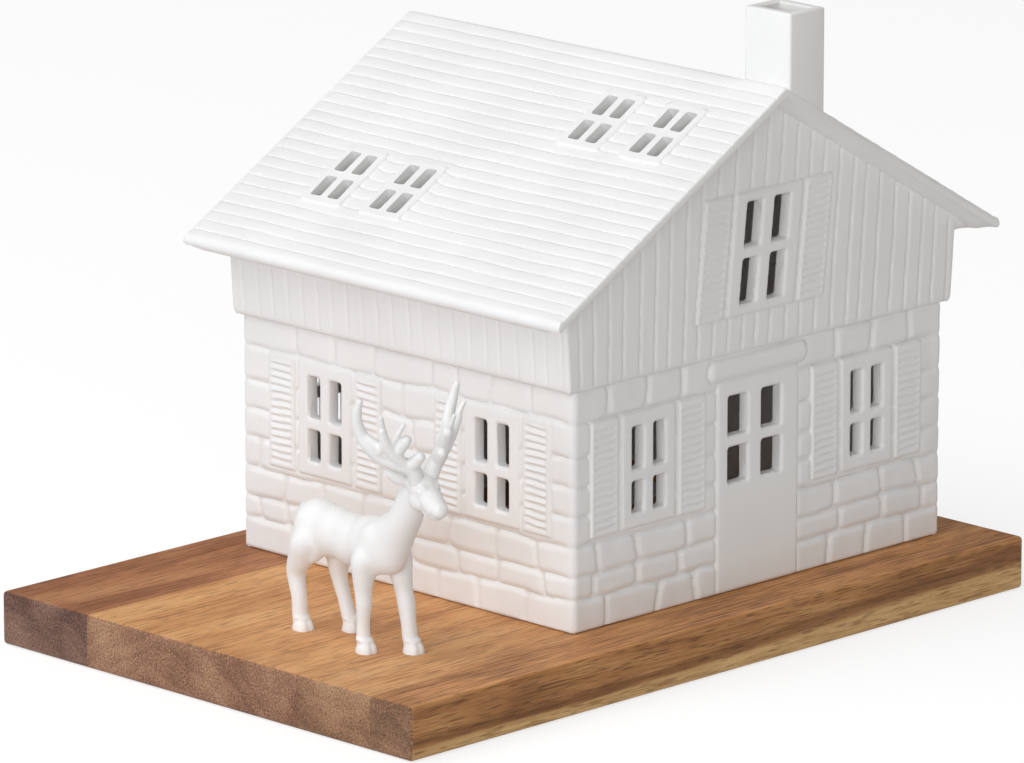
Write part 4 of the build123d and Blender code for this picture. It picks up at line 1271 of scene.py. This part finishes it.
wire_bump(tree, shader, bloom, 0.1, 0.0002)
finish_piece(wax_piece, wax, "tealight", ["tealight_wax"])

wick_low, wick_high = (Vector(corner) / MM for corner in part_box("tealight_wick"))
wick_middle = (wick_low + wick_high) / 2
put_down()
bpy.ops.curve.primitive_bezier_curve_add(location=(0.0, 0.0, 0.0))
wick = bpy.context.object
wick.name = wick.data.name = "waxed_wick"
wick.data.bevel_depth, wick.data.bevel_resolution, wick.data.use_fill_caps = 0.62 * MM, 5, True
wick.data.resolution_u = 16
knots = wick.data.splines[0].bezier_points
knots.add(1)
bend = ((0.0, wick_low.z + 0.1), (0.0, wick_high.z - 2.2), (0.12, wick_high.z - 0.05))
for knot, (lean, height) in zip(knots, bend):
    knot.co = Vector((wick_middle.x + lean, wick_middle.y - 0.5 * lean, height)) * MM
    knot.handle_left_type = knot.handle_right_type = "AUTO"
bpy.ops.object.convert(target="MESH")
wick = bpy.context.object
for point in wick.data.vertices:
    height = point.co.z / MM
    angle = math.atan2(point.co.y / MM - wick_middle.y, point.co.x / MM - wick_middle.x)
    squeeze = 1.0 - 0.13 * math.sin(2.0 * angle + 3.2 * height) ** 2
    point.co.x = (wick_middle.x + (point.co.x / MM - wick_middle.x) * squeeze) * MM
    point.co.y = (wick_middle.y + (point.co.y / MM - wick_middle.y) * squeeze) * MM
cotton, tree, shader, place = new_finish("waxed_cotton")
braid = add_node(tree, "ShaderNodeTexWave",
                 {"Vector": place, "Scale": 420.0, "Distortion": 3.0, "Detail": 2.0},
                 bands_direction="DIAGONAL").outputs["Fac"]
paint(tree, shader, braid, [(0.2, (0.62, 0.58, 0.50)), (0.8, (0.84, 0.82, 0.76))], (0.0, 1.0, 0.8, 0.55))
wire_bump(tree, shader, braid, 0.3, 0.0002)
finish_piece(wick, cotton, "tealight", ["tealight_wick"])

tin, tree, shader, place = new_finish("tinned_plate")
spots = speckle(tree, place, (900.0, 900.0, 900.0), 3.0, 0.6)
paint(tree, shader, spots, [(0.3, (0.48, 0.48, 0.49)), (0.7, (0.62, 0.62, 0.63))], (0.3, 0.7, 0.3, 0.5))
shader.inputs["Metallic"].default_value = 1.0
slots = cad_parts["wick_sustainer"].data.materials
slots.clear()
slots.append(tin)
print("tealight made: cup", round(CUP_RADIUS, 2), "by", round(CUP_HEIGHT, 2), "mm")

# %% [markdown]
# The picture was taken on a bright white table. A large soft lamp high on the left makes the roof almost
# white, a fill from the yard side lights the left wall, and a weaker lamp low on the door's left draws the
# relief of the shaded front. The table is white and catches the shadow. To the camera and in mirrored rays
# it also gives off light of its own, which lifts the empty table to white without lighting the object more.

# %% Table and light
put_down()
bpy.ops.mesh.primitive_grid_add(x_subdivisions=2, y_subdivisions=2, size=9.0, location=(0.0, 0.0, -0.0002))
table = bpy.context.object
table.name = "white_table"
table_finish = bpy.data.materials.new("white_table")
table_finish.use_nodes = True
tree = table_finish.node_tree
tree.nodes.remove(tree.nodes["Principled BSDF"])
path = add_node(tree, "ShaderNodeLightPath").outputs
seen = math_node(tree, "MAXIMUM", path["Is Camera Ray"],
                 math_node(tree, "MAXIMUM", path["Is Glossy Ray"], path["Is Transmission Ray"]))
matt = add_node(tree, "ShaderNodeBsdfDiffuse", {"Color": (0.62, 0.62, 0.62, 1.0)}).outputs[0]
seen_matt = add_node(tree, "ShaderNodeBsdfDiffuse", {"Color": (0.36, 0.36, 0.36, 1.0)}).outputs[0]
glow = add_node(tree, "ShaderNodeEmission", {"Color": (1.0, 1.0, 1.0, 1.0), "Strength": 0.72}).outputs[0]
white = add_node(tree, "ShaderNodeAddShader", {0: seen_matt, 1: glow}).outputs[0]
surface = add_node(tree, "ShaderNodeMixShader", {0: seen, 1: matt, 2: white}).outputs[0]
tree.links.new(surface, tree.nodes["Material Output"].inputs["Surface"])
table.data.materials.append(table_finish)

world = bpy.data.worlds.new("studio")
world.use_nodes = True
bpy.context.scene.world = world
tree = world.node_tree
path = add_node(tree, "ShaderNodeLightPath").outputs
sky = tree.nodes["Background"]
sky.inputs["Color"].default_value = (1.0, 0.99, 0.98, 1.0)
tree.links.new(soft_step(tree, path["Is Camera Ray"], 0.0, 1.0, 0.355, 1.0), sky.inputs["Strength"])


def soft_lamp(name, towards, distance, size, power, colour):
    """A round soft lamp that shines at the object from a direction."""
    towards = Vector(towards).normalized()
    put_down()
    bpy.ops.object.light_add(type="AREA", location=towards * distance)
    lamp = bpy.context.object
    lamp.name = name
    lamp.data.shape = "DISK"
    lamp.data.size = size
    lamp.data.energy = power
    lamp.data.color = colour
    lamp.rotation_mode = "QUATERNION"
    lamp.rotation_quaternion = (-towards).to_track_quat("-Z", "Y")


soft_lamp("key_lamp", (-0.50, 0.17, 0.85), 2.2, 2.4, 26.0, (1.0, 1.0, 1.0))
soft_lamp("door_lamp", (-0.72, -0.68, 0.15), 2.6, 1.8, 24.5, (1.0, 0.99, 0.98))
soft_lamp("yard_lamp", (-1.0, 0.0, 0.10), 2.6, 1.8, 19.0, (0.88, 0.97, 1.08))
bpy.context.scene.view_settings.view_transform = "Standard"
print("table, sky and three lamps set")
